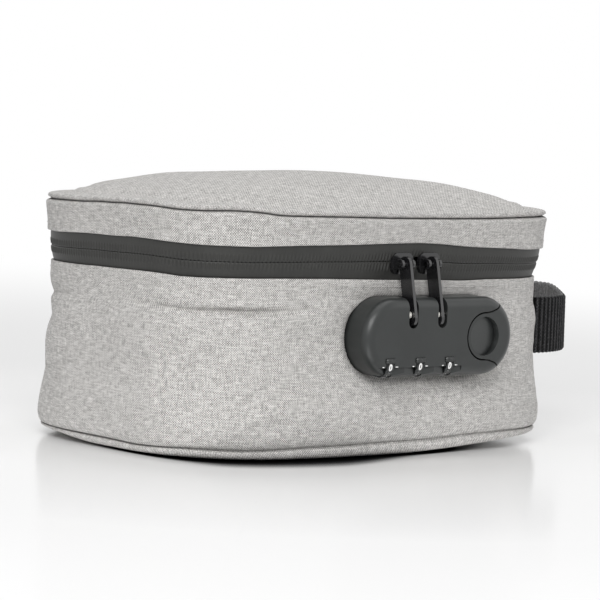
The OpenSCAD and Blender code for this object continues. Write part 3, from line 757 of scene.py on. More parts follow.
# Soft dents of the padded wall: angle on the outline, height, half length, half height, depth
WALL_DENTS = [
    (145, 60.2, 30, 2.2, 1.3), (145, 53.5, 30, 9.0, 2.3), (176, 62.0, 34, 3.4, 0.4),
    (238, 59.0, 14, 3.0, 0.5), (196, 34.0, 20, 5.0, 0.7), (190, 20.0, 26, 9.0, 0.4),
    (246, 28.0, 22, 11.0, 0.5), (300, 24.0, 18, 10.0, 0.4), (30, 30.0, 26, 9.0, 0.5),
    (60, 60.0, 34, 4.0, 0.7), (112, 40.0, 24, 7.0, 0.6),
]
# Folds that the cloth keeps: angle on the outline, height, half length, depth
WALL_FOLDS = [(220, 60.9, 26, 1.0), (243, 60.0, 12, 0.5), (60, 58.0, 24, 0.6)]
# Section of a fold from below it to above it: height and reach in millimetres
FOLD_SECTION = [
    (-7, 0), (-3.5, 0.35), (-1.6, -0.5), (-0.4, -2.4), (0.3, -1.6), (0.9, 0.5), (2.6, 0.6), (6, 0),
]
# Heights between which the cloth is free of its seam and hem
WALL_FREE = (6 * MM, 14 * MM, 66 * MM, 70 * MM)
WALL_WAVES = 0.35 * MM
# The front is drawn in round a middle angle and height
FRONT_DRAWN_IN = 1.0 * MM
FRONT_ANGLE = (270, 34)
FRONT_Z = (50 * MM, 14 * MM)
LOCK_EASE = 2.6 * MM
LOCK_EASE_Z = (6 * MM, 14 * MM)
LOCK_FIT = 0.1 * MM
LOCK_HOLD = 4 * MM
TAB_HALF = 50 * MM


def lock_reach(x, z):
    """Distance outside the lock's outline on the front wall, negative behind the lock."""
    along = np.maximum(np.abs(x - lock_mid.x) - (LOCK_L - LOCK_H) / 2, 0)
    return np.hypot(along, z - lock_mid.z) - LOCK_H / 2


def press_lock(points):
    """Wall points pushed flat where the lock stands on them."""
    x, y, z = np.moveaxis(points, -1, 0)
    flat = lock_back + LOCK_FIT
    above = smoothstep(*LOCK_EASE_Z, z - lock_mid.z)
    near = 1 - smoothstep(0.0, LOCK_EASE, lock_reach(x, z) + above * LOCK_EASE)
    near = np.where(y < 0, near, 0)
    return np.stack([x, np.where(y < flat, y + near * (flat - y), y), z], -1)


def wall_relief(t, u, heights, free):
    """How far the soft waves and dents of the padded wall move it out."""
    walk, level = np.meshgrid(u, heights)
    relief = WALL_WAVES * soft_noise(walk, level, seed=5) * free[:, None]
    relief -= FRONT_DRAWN_IN * bump(np.degrees(t), *FRONT_ANGLE) * bump(level, *FRONT_Z)
    for angle, z, length, height, deep in WALL_DENTS:
        lies = bump(walk, place_along(angle, t, u), length * MM) * bump(level, z * MM, height * MM)
        relief -= deep * MM * lies
    return relief


def wall_held(points, free):
    """How firmly each wall point is held: at seam and hem, behind the lock and under the handle's ends."""
    x, y, z = np.moveaxis(points, -1, 0)
    held = np.maximum(1 - free[:, None], 0) * np.ones_like(x)
    behind = (y < 0) & (lock_reach(x, z) < LOCK_HOLD)
    tabs = (x > 0.8 * half_l) & (np.abs(y) < TAB_HALF) & (z > strap_low.z) & (z < strap_high.z)
    held[behind | tabs] = 1
    return held


def folded(points, t, u, heights):
    """Wall points with the folds that the cloth keeps."""
    for angle, z, length, deep in WALL_FOLDS:
        section = profile_at(FOLD_SECTION, heights / MM - z) * deep
        lies = bump(u, place_along(angle, t, u), length * MM) * section[:, None]
        points = points + outward(t) * lies[..., None]
    return points


def lower_wall():
    t, u = round_angles(WALL_COLUMNS)
    offsets, heights = profile_at(WALL_PROFILE, WALL_ROWS), WALL_ROWS * MM
    free = plateau(heights, *WALL_FREE)
    relief = wall_relief(t, u, heights, free)
    points = press_lock(drape(ring_points(offsets, heights, t) + outward(t) * relief[..., None], t))
    faces = grid_faces(len(heights), WALL_COLUMNS, False, True)[0]
    held = wall_held(points, free)
    points = settle("wall_cloth", points, faces, held, pressure=2.0, slack=0.012, cap=1.2 * MM)
    points = press_lock(folded(points, t, u, heights))
    inside = inner_rows(WALL_INSIDE, t)
    padded = inside[0][HEM_ROWS:]
    padded[..., 1] = np.maximum(padded[..., 1], -(half_d - PADDED_FRONT))
    wall = ring_loft("bag_wall", (points, offsets, heights), inside, u, fabric)
    declare(wall, "base", "grey_fabric", "body_wall", "wall_foam")


# Bottom

BOTTOM_RINGS = 48
BOTTOM_CROWDING = 2.2
INNER_SCALE = 0.985
LEFT_RISE = 0.35 * MM
BACK_RISE = 2.8 * MM
RIGHT_RISE = 4.2 * MM
# Spans of those rises, in half lengths or half depths, and the share of the right-hand one in the middle
LEFT_SPAN = (0.6, 1.0)
BACK_SPAN = (0.0, 0.6)
RIGHT_SPAN = (-0.1, 0.9)
RIGHT_EDGE = (0.3, 1.0)
RIGHT_MIDDLE = 0.35
# Bottom panel from its middle to the seam: share of the outline, offset and height in millimetres
BOTTOM_PROFILE = [
    (0.0, 0.0, 0.08), (0.80, 0.0, 0.08), (0.88, 0.0, 0.12), (0.93, -0.2, 0.2), (0.955, 0.2, 0.3),
    (0.972, 1.0, 0.5), (0.983, 1.8, 0.85), (0.990, 2.25, 1.5), (0.995, 2.35, 2.8), (0.998, 1.6, 3.95),
    (1.0, -0.8, 4.3),
]


def crowded(rings, crowding):
    """Shares from the middle of a panel to its edge, closer together towards the edge."""
    return 1 - (1 - np.linspace(0, 1, rings + 1)) ** crowding


def bottom_lift(points, share):
    """Height by which the two ends of the bottom curve up off the floor."""
    x = points[..., 0] / half_l
    edge = RIGHT_MIDDLE + (1 - RIGHT_MIDDLE) * smoothstep(*RIGHT_EDGE, share)
    right = RIGHT_RISE * smoothstep(*RIGHT_SPAN, x) * edge
    back = BACK_RISE * smoothstep(*BACK_SPAN, points[..., 1] / half_d)
    return right + (LEFT_RISE + back) * smoothstep(*LEFT_SPAN, -x)


def bottom_panel():
    share = crowded(BOTTOM_RINGS, BOTTOM_CROWDING)
    at, *columns = np.array(BOTTOM_PROFILE).T
    offset, height = (smooth_curve(at, column, share) * MM for column in columns)
    ring = panel_square(BOTTOM_RINGS)[0]
    grids = []
    for scale in (1.0, INNER_SCALE):
        grid = panel_points(share * scale, offset, height)
        ends = bottom_lift(grid, share[ring]) * np.clip(1 - grid[..., 2] / seam_z, 0, 1)
        grid = drape(grid, outline_angle(grid))
        grid[..., 2] += ends
        grids.append(grid)
    outer, inner = grids
    inner[..., 2] += CLOTH_T
    panel = panel_shell("bag_bottom", outer, inner, fabric, edge_spill(outer, share, offset, height))
    declare(panel, "base", "grey_fabric", "base_panel", "base_board")


# Lid

LID_FREE = (89 * MM, 92 * MM, 96 * MM, 98 * MM)
LID_WAVES = 0.3 * MM
TOP_WAVES = 0.5 * MM
TOP_RINGS = 52
TOP_CROWDING = 1.6
# Shares of the outline between which the cloth of the top is held, and its padding runs out
TOP_HELD = (0.90, 0.96)
TOP_PADDED = (1.0, 0.93)
TOP_CLOTH = 0.6 * MM
LID_ROWS = np.r_[87, 87.6, 88.4:97:1, 97.4, 97.9, 98.3, 98.65, 98.95]
# Height and offset in millimetres
LID_BAND_PROFILE = [
    (87.0, 2.1), (90.6, 2.2), (93.5, 2.5), (96.5, 2.9), (97.7, 3.0), (98.4, 2.6), (98.95, 1.2),
]
# Inside of the band from the lid seam down to its hem: offset, and height in millimetres
LID_INSIDE = [
    (LID_FLARE - 2.6 * MM, 98.6), (LID_FLARE - 1.9 * MM, 97.0), (UPPER_HEM - CLOTH_T, 92.0),
    (UPPER_HEM - CLOTH_T, 90.4), (UPPER_HEM - CLOTH_T, 87.4), (UPPER_HEM - 1.05 * MM, 86.9),
    (UPPER_HEM - 0.6 * MM, 86.7), (UPPER_HEM - 0.15 * MM, 86.75),
]
# Top from its middle to the seam: share of the outline, and height or offset in millimetres
TOP_RISE = [
    (0.0, crown_z / MM - 0.6), (0.25, crown_z / MM - 1.1), (0.5, 111.4), (0.75, 107.6), (0.90, 103.7),
    (0.945, 102.0), (0.968, 101.9), (0.985, 101.7), (0.994, 101.1), (0.998, 100.2), (1.0, 99.15),
]
TOP_EDGE = [(0, 0), (0.95, 0.0), (0.968, 0.6), (0.985, 2.0), (0.994, 2.8), (0.998, 2.7), (1.0, 1.2)]
TOP_UNDERSIDE = 99.0 * MM


def lid_side():
    t, u = round_angles(WALL_COLUMNS)
    offsets, heights = profile_at(LID_BAND_PROFILE, LID_ROWS), LID_ROWS * MM
    free = plateau(heights, *LID_FREE)
    relief = LID_WAVES * soft_noise(*np.meshgrid(u, heights), seed=8) * free[:, None]
    points = drape(ring_points(offsets, heights, t) + outward(t) * relief[..., None], t)
    band = ring_loft("lid_side", (points, offsets, heights), inner_rows(LID_INSIDE, t), u, fabric)
    declare(band, "lid", "grey_fabric", "lid_band")


def lid_top():
    share = crowded(TOP_RINGS, TOP_CROWDING)
    height, offset = (profile_at(rows, share) for rows in (TOP_RISE, TOP_EDGE))
    outer = panel_points(share, offset, height)
    free = 1 - smoothstep(*TOP_HELD, share)[panel_square(TOP_RINGS)[0]]
    outer[..., 2] += TOP_WAVES * soft_noise(outer[..., 0], outer[..., 1], seed=12) * free
    outer = drape(outer, outline_angle(outer))
    faces = grid_faces(*outer.shape[:2], False, False)[0]
    outer = settle("top_cloth", outer, faces, 1 - free, pressure=1.2, slack=0.006, cap=0.8 * MM)
    thick = PADDING * smoothstep(*TOP_PADDED, share) + TOP_CLOTH
    inner = panel_points(share * INNER_SCALE, offset * 0.5, np.maximum(height - thick, TOP_UNDERSIDE))
    inner = drape(inner, outline_angle(inner))
    top = panel_shell("lid_top", outer, inner, fabric, edge_spill(outer, share, offset, height))
    declare(top, "lid", "grey_fabric", "lid_panel", "lid_foam")


# Stitching

STITCH_PITCH = 3.2 * MM
STITCH_RADIUS = 0.2 * MM
STITCH_FROM_HEM = 2.5 * MM
STITCH_SIDES = 6
HEM_STEPS = 1200
# One stitch: place along the pitch, and thickness and rise in radii
STITCH_HALF = [(0.42, 0.3, -1.1), (0.36, 0.8, -0.5), (0.2, 1.0, 0.0)]
STITCH = [(-at, *rest) for at, *rest in STITCH_HALF] + [(0.0, 1.0, 0.1)] + STITCH_HALF[::-1]


def stitch_row(name, path, out, body):
    """Row of separate stitches along a path, each a short arched thread. out holds the surface normals."""
    walked = lengths_along(path)
    count = int(walked[-1] / STITCH_PITCH)
    along, thick, rise = np.array(STITCH).T
    a = (np.arange(STITCH_SIDES) * TURN / STITCH_SIDES)[None, :, None]
    faces = grid_faces(len(along), STITCH_SIDES, False, True)[0]
    points, all_faces = [], []
    for k in range(count):
        at = (k + 0.5 + along) * walked[-1] / count
        centre, normal = (points_at(at, walked, rows) for rows in (path, out))
        normal = unit(normal)
        side = np.cross(unit(centre[-1] - centre[0]), normal)
        centre = centre + normal * (rise * STITCH_RADIUS)[:, None]
        turn = normal[:, None] * np.sin(a) + side[:, None] * np.cos(a)
        points.append(centre[:, None] + turn * (thick * STITCH_RADIUS)[:, None, None])
        all_faces.append(faces + k * len(along) * STITCH_SIDES)
    row = new_object(name, np.concatenate(points), np.concatenate(all_faces), grey_thread)
    declare(row, body, "grey_fabric")


def hem_stitches():
    t, _ = even_angles(HEM_STEPS, BACK, BACK + TURN)
    for name, z, body, profile in (
        ("hem_stitches_lower", hem_z - STITCH_FROM_HEM, "base", WALL_PROFILE),
        ("hem_stitches_upper", lid_hem_z + STITCH_FROM_HEM, "lid", LID_BAND_PROFILE),
    ):
        path = drape(ring_points(profile_at(profile, [z / MM]), [z], t)[0], t)
        if body == "base":
            path = press_lock(path)
        stitch_row(name, path, outward(t), body)


# Zip

TAPE_T = 0.9 * MM
TAPE_TUCK = 2.6 * MM
# Rows of half a tape away from the zip's middle, and how far its face stands out there, in millimetres
TAPE_ROWS = [0.0, 0.1, 0.3, 0.6, 1.2, 1.9, 2.5, 2.9, 3.3, 3.8, 4.6, 5.4, 6.2, 7.0, 7.8]
TAPE_SECTION = [(0, -0.12), (0.3, 0.04), (1.2, 0.12), (2.6, 0.1), (3.6, 0), (5.0, -0.1), (10.5, -1.0)]
RIDGE = 0.34 * MM
RIDGE_SPAN = (0.2 * MM, 0.6 * MM, 2.6 * MM, 3.4 * MM)
LEAST_PARTING = 0.01 * MM
TOOTH_PARTING = 0.14 * MM
STEPS_PER_RIDGE = 6
GAP_HALF = 1.5 * MM
GAP_INTO_SLIDER = 4 * MM
GAP_EASE = 3 * MM
COIL_WIRE = 0.33 * MM
COIL_DEEP = 2.2 * MM
COIL_OUT = 0.65 * MM
COIL_UP = 1.0 * MM
STEPS_PER_TURN = 12


def parted(t):
    """Half height of the gap that the two sliders hold open between them."""
    x, y = plan(0, t).T
    left = slider_boxes[0][1].x - GAP_INTO_SLIDER
    right = slider_boxes[1][0].x + GAP_INTO_SLIDER
    inside = plateau(x, left, left + GAP_EASE, right - GAP_EASE, right)
    return np.where(y < 0, GAP_HALF * inside, 0)


def zip_half(name, sign, body, solid):
    """Half of the coated tape, with the ridges that the coil pushes up under it."""
    columns = int(plan_length(ZIP_FIRST, ZIP_LAST) / COIL_PITCH * STEPS_PER_RIDGE)
    t, u = even_angles(columns, ZIP_FIRST, ZIP_LAST)
    far = abs((lid_hem_z if sign > 0 else hem_z) - zip_z) + TAPE_TUCK
    away = np.append(np.array(TAPE_ROWS) * MM, far)
    tooth = 0.5 + 0.5 * np.cos(TURN * u / COIL_PITCH)
    ridge = RIDGE * plateau(away, *RIDGE_SPAN)
    heights = zip_z + sign * away
    face = tape_offset(heights) + profile_at(TAPE_SECTION, away / MM)
    offset = face[:, None] + ridge[:, None] * (tooth**2 - 0.5)
    spread = LEAST_PARTING + TOOTH_PARTING * tooth + parted(t)
    squeeze = np.clip(1 - away / far, 0, 1)
    z = heights[:, None] + sign * spread * squeeze[:, None]
    outer, inner = (drape(raised(plan(rows, t), z), t) for rows in (offset, offset - TAPE_T))
    v = np.append(away, away[-1] + TAPE_T + far - away[::-1])
    strip = strip_loft(name, np.concatenate([outer, inner[::-1]]), u, v, tape)
    declare(strip, body, "zip_tape", solid)


def zip_coil(name, sign, body, solid):
    """Nylon coil behind one half of the tape."""
    first, last = ZIP_FIRST + COIL_SHORT, ZIP_LAST - COIL_SHORT
    turns = int(plan_length(first, last) / COIL_PITCH)
    t, _ = even_angles(turns * STEPS_PER_TURN + 1, first, last)
    phase = TURN * np.arange(len(t)) / STEPS_PER_TURN
    offset = tape_offset(zip_z) - COIL_DEEP + COIL_OUT * np.cos(phase)
    height = middle_of(solid).z + sign * parted(t) + COIL_UP * np.sin(phase)
    path = drape(raised(plan(offset, t), height), t)
    declare(tube(name, path, COIL_WIRE, 5, nylon), body, "zip_coil", solid)


# Cloth hinge at the back

HINGE_INSET = math.radians(0.6)
HINGE_COLUMNS = 120
HINGE_ROWS = 26
HINGE_T = 0.8 * MM
HINGE_BELLY = 0.25 * MM


def hinge_cloth():
    t, u = even_angles(HINGE_COLUMNS, ZIP_LAST - TURN + HINGE_INSET, ZIP_FIRST - HINGE_INSET)
    heights = np.linspace(hinge_low.z, hinge_high.z, HINGE_ROWS)
    share = (heights - hinge_low.z) / (hinge_high.z - hinge_low.z)
    offset = tape_offset(heights) + HINGE_BELLY * np.sin(np.pi * share)
    outer, inner = (drape(ring_points(rows, heights, t), t) for rows in (offset, offset - HINGE_T))
    v = np.append(heights, heights[-1] + HINGE_T + heights[-1] - heights[::-1])
    strip = strip_loft("hinge_cloth", np.concatenate([outer, inner[::-1]]), u, v, fabric)
    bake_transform(strip)
    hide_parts("hinge_panel")


# Linings. Rows give an offset and a height in millimetres

TUB_LINING = [
    (-6.9, 5.4), (-5.4, 8.0), (-4.6, 12.0), (-5.4, 21.0), (-7.0, 32.0), (-7.6, 46.0), (-7.6, 60.0),
    (-7.0, 66.0), (-4.0, 69.0), (-2.9, 71.0), (-2.8, 74.0), (-2.5, 75.8),
]
LID_LINING = [(-1.95, 87.6), (-1.95, 92.0), (-2.2, 95.6), (-3.4, 97.2)]
# Share of the outline and height in millimetres
LINING_CROWN = [(0, 106.3), (0.25, 105.7), (0.5, 103.6), (0.75, 100.1), (0.93, 97.4), (1.0, 96.9)]
LINING_COLUMNS = 220
LINING_RINGS = 30
LINING_WAVES = 0.35 * MM
FLOOR_WAVES = 0.25 * MM
CEILING_WAVES = 0.3 * MM
FLOOR_IN = -6.3 * MM
FLOOR_UP = 6.2 * MM
CEILING_IN = -2.6 * MM
# Clearance of the linings behind the front, below and above the padding's upper edge
LINING_FRONT = 9.0 * MM
LINING_FRONT_HIGH = 1.5 * MM
PADDING_TOP = 68 * MM


def ring_lining(name, rows, seed, body, solid):
    """Thin lining between an outer profile and the same profile moved in."""
    t, u = round_angles(LINING_COLUMNS)
    offsets, heights = np.array(rows).T * MM
    free = np.sin(np.pi * np.linspace(0, 1, len(heights)))[:, None]
    depth = LINING_WAVES * soft_noise(*np.meshgrid(u, heights), seed, shortest=0.02, longest=0.08) * free
    outer = drape(ring_points(offsets, heights, t), t)
    inner = ring_points(offsets - LINING_T, heights, t) - outward(t) * np.abs(depth)[..., None]
    inner = drape(inner, t)
    for half in (outer, inner):
        clear = np.where(half[..., 2] > PADDING_TOP, LINING_FRONT_HIGH, LINING_FRONT)
        half[..., 1] = np.maximum(half[..., 1], clear - half_d)
    inside = (inner[::-1], offsets[::-1] - LINING_T, heights[::-1])
    shell = ring_loft(name, (outer, offsets, heights), inside, u, lining)
    declare(shell, body, "lining", solid)


def lining_panel(name, grid, waves, seed, body):
    """Thin rippled lining over a square grid of points."""
    grid[..., 2] += waves * soft_noise(grid[..., 0], grid[..., 1], seed, shortest=0.02, longest=0.09)
    panel = panel_shell(name, grid, grid - np.array([0, 0, LINING_T]), lining)
    declare(panel, body, "lining")


def linings():
    ring_lining("tub_lining_wall", TUB_LINING, 21, "base", "tub_lining")
    share = np.linspace(0, 1, LINING_RINGS + 1)
    ring = panel_square(LINING_RINGS)[0]
    grid = panel_points(share, FLOOR_IN, np.full_like(share, FLOOR_UP))
    edge_rise = rise_at(BOTTOM_SEAM_RISE, outline_angle(grid)) * share[ring] ** 6
    grid[..., 2] += np.maximum(bottom_lift(grid, share[ring]), edge_rise)
    lining_panel("tub_lining_floor", grid, FLOOR_WAVES, 31, "base")
    ring_lining("lid_lining_side", LID_LINING, 22, "lid", "lid_lining")
    grid = panel_points(share, CEILING_IN, profile_at(LINING_CROWN, share))
    lining_panel("lid_lining_top", grid, CEILING_WAVES, 33, "lid")


# Handle webbing

STRAP_T = 1.8 * MM
STRAP_FLARE = 1.7 * MM
STRAP_FLARE_HALF = 26 * MM
STRAP_COLUMNS = 27
STRAP_LINES = 1.1 * MM
STEPS_PER_RIB = 8
RIB_NARROWER = 0.4 * MM
GROOVE_SHARE = 0.45
EDGE_FROM = 0.93
EDGE_THINNER = 0.75
LINE_DEPTH = 0.06
ARCH_POWER = 2.2
ARCH_INSET = 0.03
ARCH_STEPS = 90
TAB_STEPS = 20
TAB_SHORT = math.radians(3)
TAB_OFFSET = 1.0 * MM
FOOT_INSET = 0.6 * MM
FAR_LEG_LIFT = 3.4 * MM
FAR_LEG_LIFT_Y = (-31 * MM, -12 * MM)
ROUNDING_PASSES = 60


def strap_path():
    """Centre line of the webbing: along the wall, out round the arch, and back along the wall."""
    span = (strap_high.y - strap_low.y - STRAP_T) / 2
    foot = math.asin((span / (half_d - FOOT_INSET)) ** (OUTLINE_POWER / 2))
    root = plan(TAB_OFFSET, np.array(foot))[0] + STRAP_T / 2
    rise = strap_high.x - STRAP_T / 2 - root
    tab = np.linspace(foot / 2, foot - TAB_SHORT, TAB_STEPS)
    arch = np.linspace(ARCH_INSET, math.pi - ARCH_INSET, ARCH_STEPS)
    e = 2 / ARCH_POWER
    curve = np.stack([root + rise * power(np.sin(arch), e), -span * power(np.cos(arch), e)], -1)
    near, far = (plan(TAB_OFFSET + STRAP_T / 2, angles) for angles in (-tab, tab[::-1]))
    line = np.concatenate([near, curve, far])
    walked = lengths_along(line)
    at = np.linspace(0, walked[-1], int(walked[-1] / (STRAP_RIB / STEPS_PER_RIB)))
    line = points_at(at, walked, line)
    for _ in range(ROUNDING_PASSES):
        line[1:-1] = 0.25 * line[:-2] + 0.5 * line[1:-1] + 0.25 * line[2:]
    return line, at


def handle():
    line, at = strap_path()
    run = unit(np.gradient(line, axis=0))
    out = np.stack([run[:, 1], -run[:, 0]], -1)[:, None]
    rib = np.abs(np.cos(np.pi * at / STRAP_RIB))[:, None]
    wide = (strap_high.z - strap_low.z) / 2
    across = np.linspace(-1, 1, STRAP_COLUMNS)
    edge = 1 - EDGE_THINNER * smoothstep(EDGE_FROM, 1.0, np.abs(across))
    lines = 1 + LINE_DEPTH * np.cos(across * wide / STRAP_LINES * np.pi)
    ribbed = GROOVE_SHARE + (1 - GROOVE_SHARE) * rib
    thick = out * (STRAP_T / 2 * ribbed * edge * lines)[..., None]
    middle = (strap_high.z + strap_low.z) / 2 + FAR_LEG_LIFT * smoothstep(*FAR_LEG_LIFT_Y, line[:, 1:])
    z = middle + (wide - RIB_NARROWER * (1 - rib)) * across
    flare = STRAP_FLARE * bump(line[:, 1:], 0, STRAP_FLARE_HALF) * -across
    flat = line[:, None] + np.stack([flare, np.zeros_like(flare)], -1)
    front, back = raised(flat + thick, z), raised(flat - thick, z)
    skin = np.concatenate([front, back[:, ::-1]], 1)
    v = np.concatenate([across * wide, (2 + across) * wide])
    strap = loft("handle_webbing", skin, v, at, webbing, capped=True)
    # The inner face of the handle takes the paler copy of the webbing: painted sheen
    strap.data.materials.append(painted_sheen_webbing)
    column = np.arange(len(strap.data.polygons)) % skin.shape[1]
    strap.data.polygons.foreach_set("material_index", (column >= STRAP_COLUMNS).astype(np.int32))
    declare(strap, "base", "webbing", "handle_strap")


# Keepers in the slots

KEEPER_FORWARD = 0.65 * MM


def keeper_ends():
    """The two bright keepers. The right-hand one stands further out, so that it shows beside its pull."""
    node = nodes["bolt_keepers"]
    points = np.array([node.matrix_world @ v.co for v in node.data.vertices], float)
    points[points[:, 0] > middle_of("bolt_keepers").x, 1] -= KEEPER_FORWARD
    faces = [tuple(p.vertices) for p in node.data.polygons]
    keepers = new_object("keeper_ends", points, faces, keeper_metal)
    declare(keepers, "base", "steel", "bolt_keepers")


# Spring behind the release button

SPRING_TURNS = 6
SPRING_STEPS = 18
SPRING_WIRE = 0.4 * MM


def return_coil():
    """Round-wire spring in the return spring's box, one fixed mesh on the base that does not shorten as the
    button slides out.
    """
    low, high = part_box("return_spring")
    middle = middle_of("return_spring")
    count = SPRING_TURNS * SPRING_STEPS + 1
    x = np.linspace(low.x + SPRING_WIRE, high.x - SPRING_WIRE, count)
    turn = np.linspace(0, TURN * SPRING_TURNS, count)
    reach = (high.y - low.y) / 2 - SPRING_WIRE
    path = np.stack([x, middle.y + reach * np.cos(turn), middle.z + reach * np.sin(turn)], -1)
    coil = tube("return_coil", path, SPRING_WIRE, 8, steel)
    declare(coil, "base", "steel", "return_spring")
    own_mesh(coil)


# Figures on the dials, and dashes and lips beside them

NOUGHT_H = 3.1 * MM
FIGURE_H = 2.1 * MM
FIGURE_NARROW = 0.9
FIGURE_PROUD = 0.03 * MM
FIGURE_BOLD = 0.055
FIGURE_TILT = math.radians(-9)
DASH_Z = (38.55 * MM, 38.95 * MM)
DASH_T = 0.05 * MM
# Spans of the dashes from a dial's middle
DASHES = ((-4.4 * MM, -3.4 * MM), (3.0 * MM, 4.4 * MM))
LIP_HALF = 2.6 * MM
LIP_FOOT = 0.4 * MM
LIP_SINK = 0.02 * MM
LIP_IN = 0.3 * MM
LIP_OUT = 0.45 * MM
LIP_Z = (40.25 * MM, 42.2 * MM)


def text_mesh(text, height):
    """Points and faces of a plain figure, flat and centred on the origin."""
    curve = bpy.data.curves.new("figure", "FONT")
    curve.body = text
    curve.size = 1
    curve.resolution_u = 6
    curve.offset = FIGURE_BOLD
    obj = linked("figure", curve)
    bpy.context.view_layer.update()
    mesh = bpy.data.meshes.new_from_object(obj.evaluated_get(bpy.context.evaluated_depsgraph_get()))
    bpy.data.objects.remove(obj)
    points = np.array([v.co for v in mesh.vertices], float)
    low, high = points.min(0), points.max(0)
    points = (points - (low + high) / 2) * height / (high[1] - low[1])
    faces = np.array([p.vertices for p in mesh.polygons])
    bpy.data.meshes.remove(mesh)
    return points, faces


def dial_figures():
    """Ten plain figures wrapped round each dial. Nought faces the front."""
    for name in DIAL_NAMES:
        centre = middle_of(name)
        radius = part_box(name)[1].z - centre.z + FIGURE_PROUD
        points, faces, count = [], [], 0
        for figure in range(10):
            flat, its_faces = text_mesh(str(figure), FIGURE_H if figure else NOUGHT_H)
            angle = FIGURE_TILT + flat[:, 1] / radius - figure * TURN / 10
            x = centre.x + flat[:, 0] * FIGURE_NARROW
            y = centre.y - radius * np.cos(angle)
            points.append(np.stack([x, y, centre.z + radius * np.sin(angle)], -1))
            faces.append(its_faces + count)
            count += len(flat)
        points, faces = np.concatenate(points), np.concatenate(faces)
        declare(new_object(f"{name}_figures", points, faces, paint, smooth=False), name, "dial_plastic")


def small_boxes(name, boxes, material):
    """One mesh of boxes, each given by its span along x, y and z."""
    corners = [np.stack(np.meshgrid(x, y, z, indexing="ij"), -1).reshape(8, 3) for x, y, z in boxes]
    sides = [(0, 1, 3, 2), (4, 6, 7, 5), (0, 4, 5, 1), (2, 3, 7, 6), (0, 2, 6, 4), (1, 5, 7, 3)]
    faces = [tuple(8 * k + i for i in side) for k in range(len(boxes)) for side in sides]
    declare(face_out(new_object(name, np.concatenate(corners), faces, material)), "base", "lock_plastic")


def dial_marks():
    """White dashes on the cover at each side of a dial, and a thin lip above it."""
    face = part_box("lock_cover")[0].y
    dashes, lips = [], []
    for name in DIAL_NAMES:
        middle = middle_of(name).x
        for first, last in DASHES:
            dashes.append(((middle + first, middle + last), (face - DASH_T, face + DASH_T), DASH_Z))
        left, right = middle - LIP_HALF, middle + LIP_HALF
        lips.append(((left, right), (face - LIP_OUT, face - LIP_IN), LIP_Z))
        for foot in ((left, left + LIP_FOOT), (right - LIP_FOOT, right)):
            lips.append((foot, (face - LIP_IN - LIP_SINK, face + LIP_SINK), LIP_Z))
    small_boxes("dial_marks", dashes, paint)
    small_boxes("dial_lips", lips, lock_plastic)


# Stage, light and camera

WHITE = (1, 1, 1, 1)
FLOOR_HALF = 6.0
FLOOR_TONES = greys((0.0, 0.90), (1.0, 0.92))
# Distances from the middle between which the floor runs out into white
FLOOR_FADE = (0.25, 1.1)
# Reflection: two distances from the middle, and its share at each
GLOSS = (0.10, 0.30, 0.46, 0.04)
GLOSS_ROUGH = 0.16
# Painted shadow on the floor where the case stands: its reach, and a line along which it fades out to both
# sides
CONTACT_REACH = 0.03
CONTACT_SAMPLES = 48
CONTACT_STOPS = greys((0.54, 0.004), (0.66, 0.03), (0.78, 0.30), (0.90, 1.0))
CONTACT_WAY = (-0.74, 0.67, 0.0)
CONTACT_FADE = (0.02, 0.106)
AMBIENT = 0.385
# Place, aim, size and power of each light
SOFTBOXES = {
    "key": ((-1.3, -1.4, 1.3), (0, 0, 0.05), (1.4, 1.2), 32),
    "top": ((0.1, 0.1, 1.8), (0, 0, 0.05), (1.8, 1.8), 11),
    "fill": ((1.5, -1.2, 0.9), (0, 0, 0.06), (1.0, 1.0), 1.5),
}
CAMERA_YAW = math.radians(42.12)
CAMERA_PITCH = math.radians(4.23)
CAMERA_ROLL = math.radians(2.78)
CAMERA_DISTANCE = 1430.5 * MM
CAMERA_AIM = Vector((0, 0, 59.4 * MM))
CAMERA_LENS = 199.2
CAMERA_SENSOR = 36
CAMERA_SHIFT = (0.0074, -0.0013)
CAMERA_CLIP = (0.05, 50)


def seen_share(tree):
    """1 for rays that show the stage to the camera, straight or mirrored, and 0 for those that light."""
    path = add(tree, "ShaderNodeLightPath").outputs
    seen = calc(tree, "MAXIMUM", path["Is Camera Ray"], path["Is Glossy Ray"])
    return calc(tree, "MAXIMUM", seen, path["Is Transmission Ray"])


def ranged(tree, value, near, far, first=0.0, last=1.0, way="LINEAR"):
    """Value that runs from first to last between near and far."""
    links = {"Value": value, 1: near, 2: far, 3: first, 4: last}
    return add(tree, "ShaderNodeMapRange", links, interpolation_type=way).outputs[0]


def mixed(tree, share, first, second):
    return add(tree, "ShaderNodeMixShader", {0: share, 1: first.outputs[0], 2: second.outputs[0]})


def contact_shade(tree, place):
    """Painted shadow on the floor: dark where the case stands, less so towards its two sides."""
    along = calc(tree, "ABSOLUTE", vector_calc(tree, "DOT_PRODUCT", place, CONTACT_WAY)["Value"])
    thinner = ranged(tree, along, *CONTACT_FADE, way="SMOOTHSTEP")
    open_sky = openness(tree, CONTACT_REACH, CONTACT_SAMPLES)
    return ramp(tree, calc(tree, "ADD", open_sky, thinner), CONTACT_STOPS)


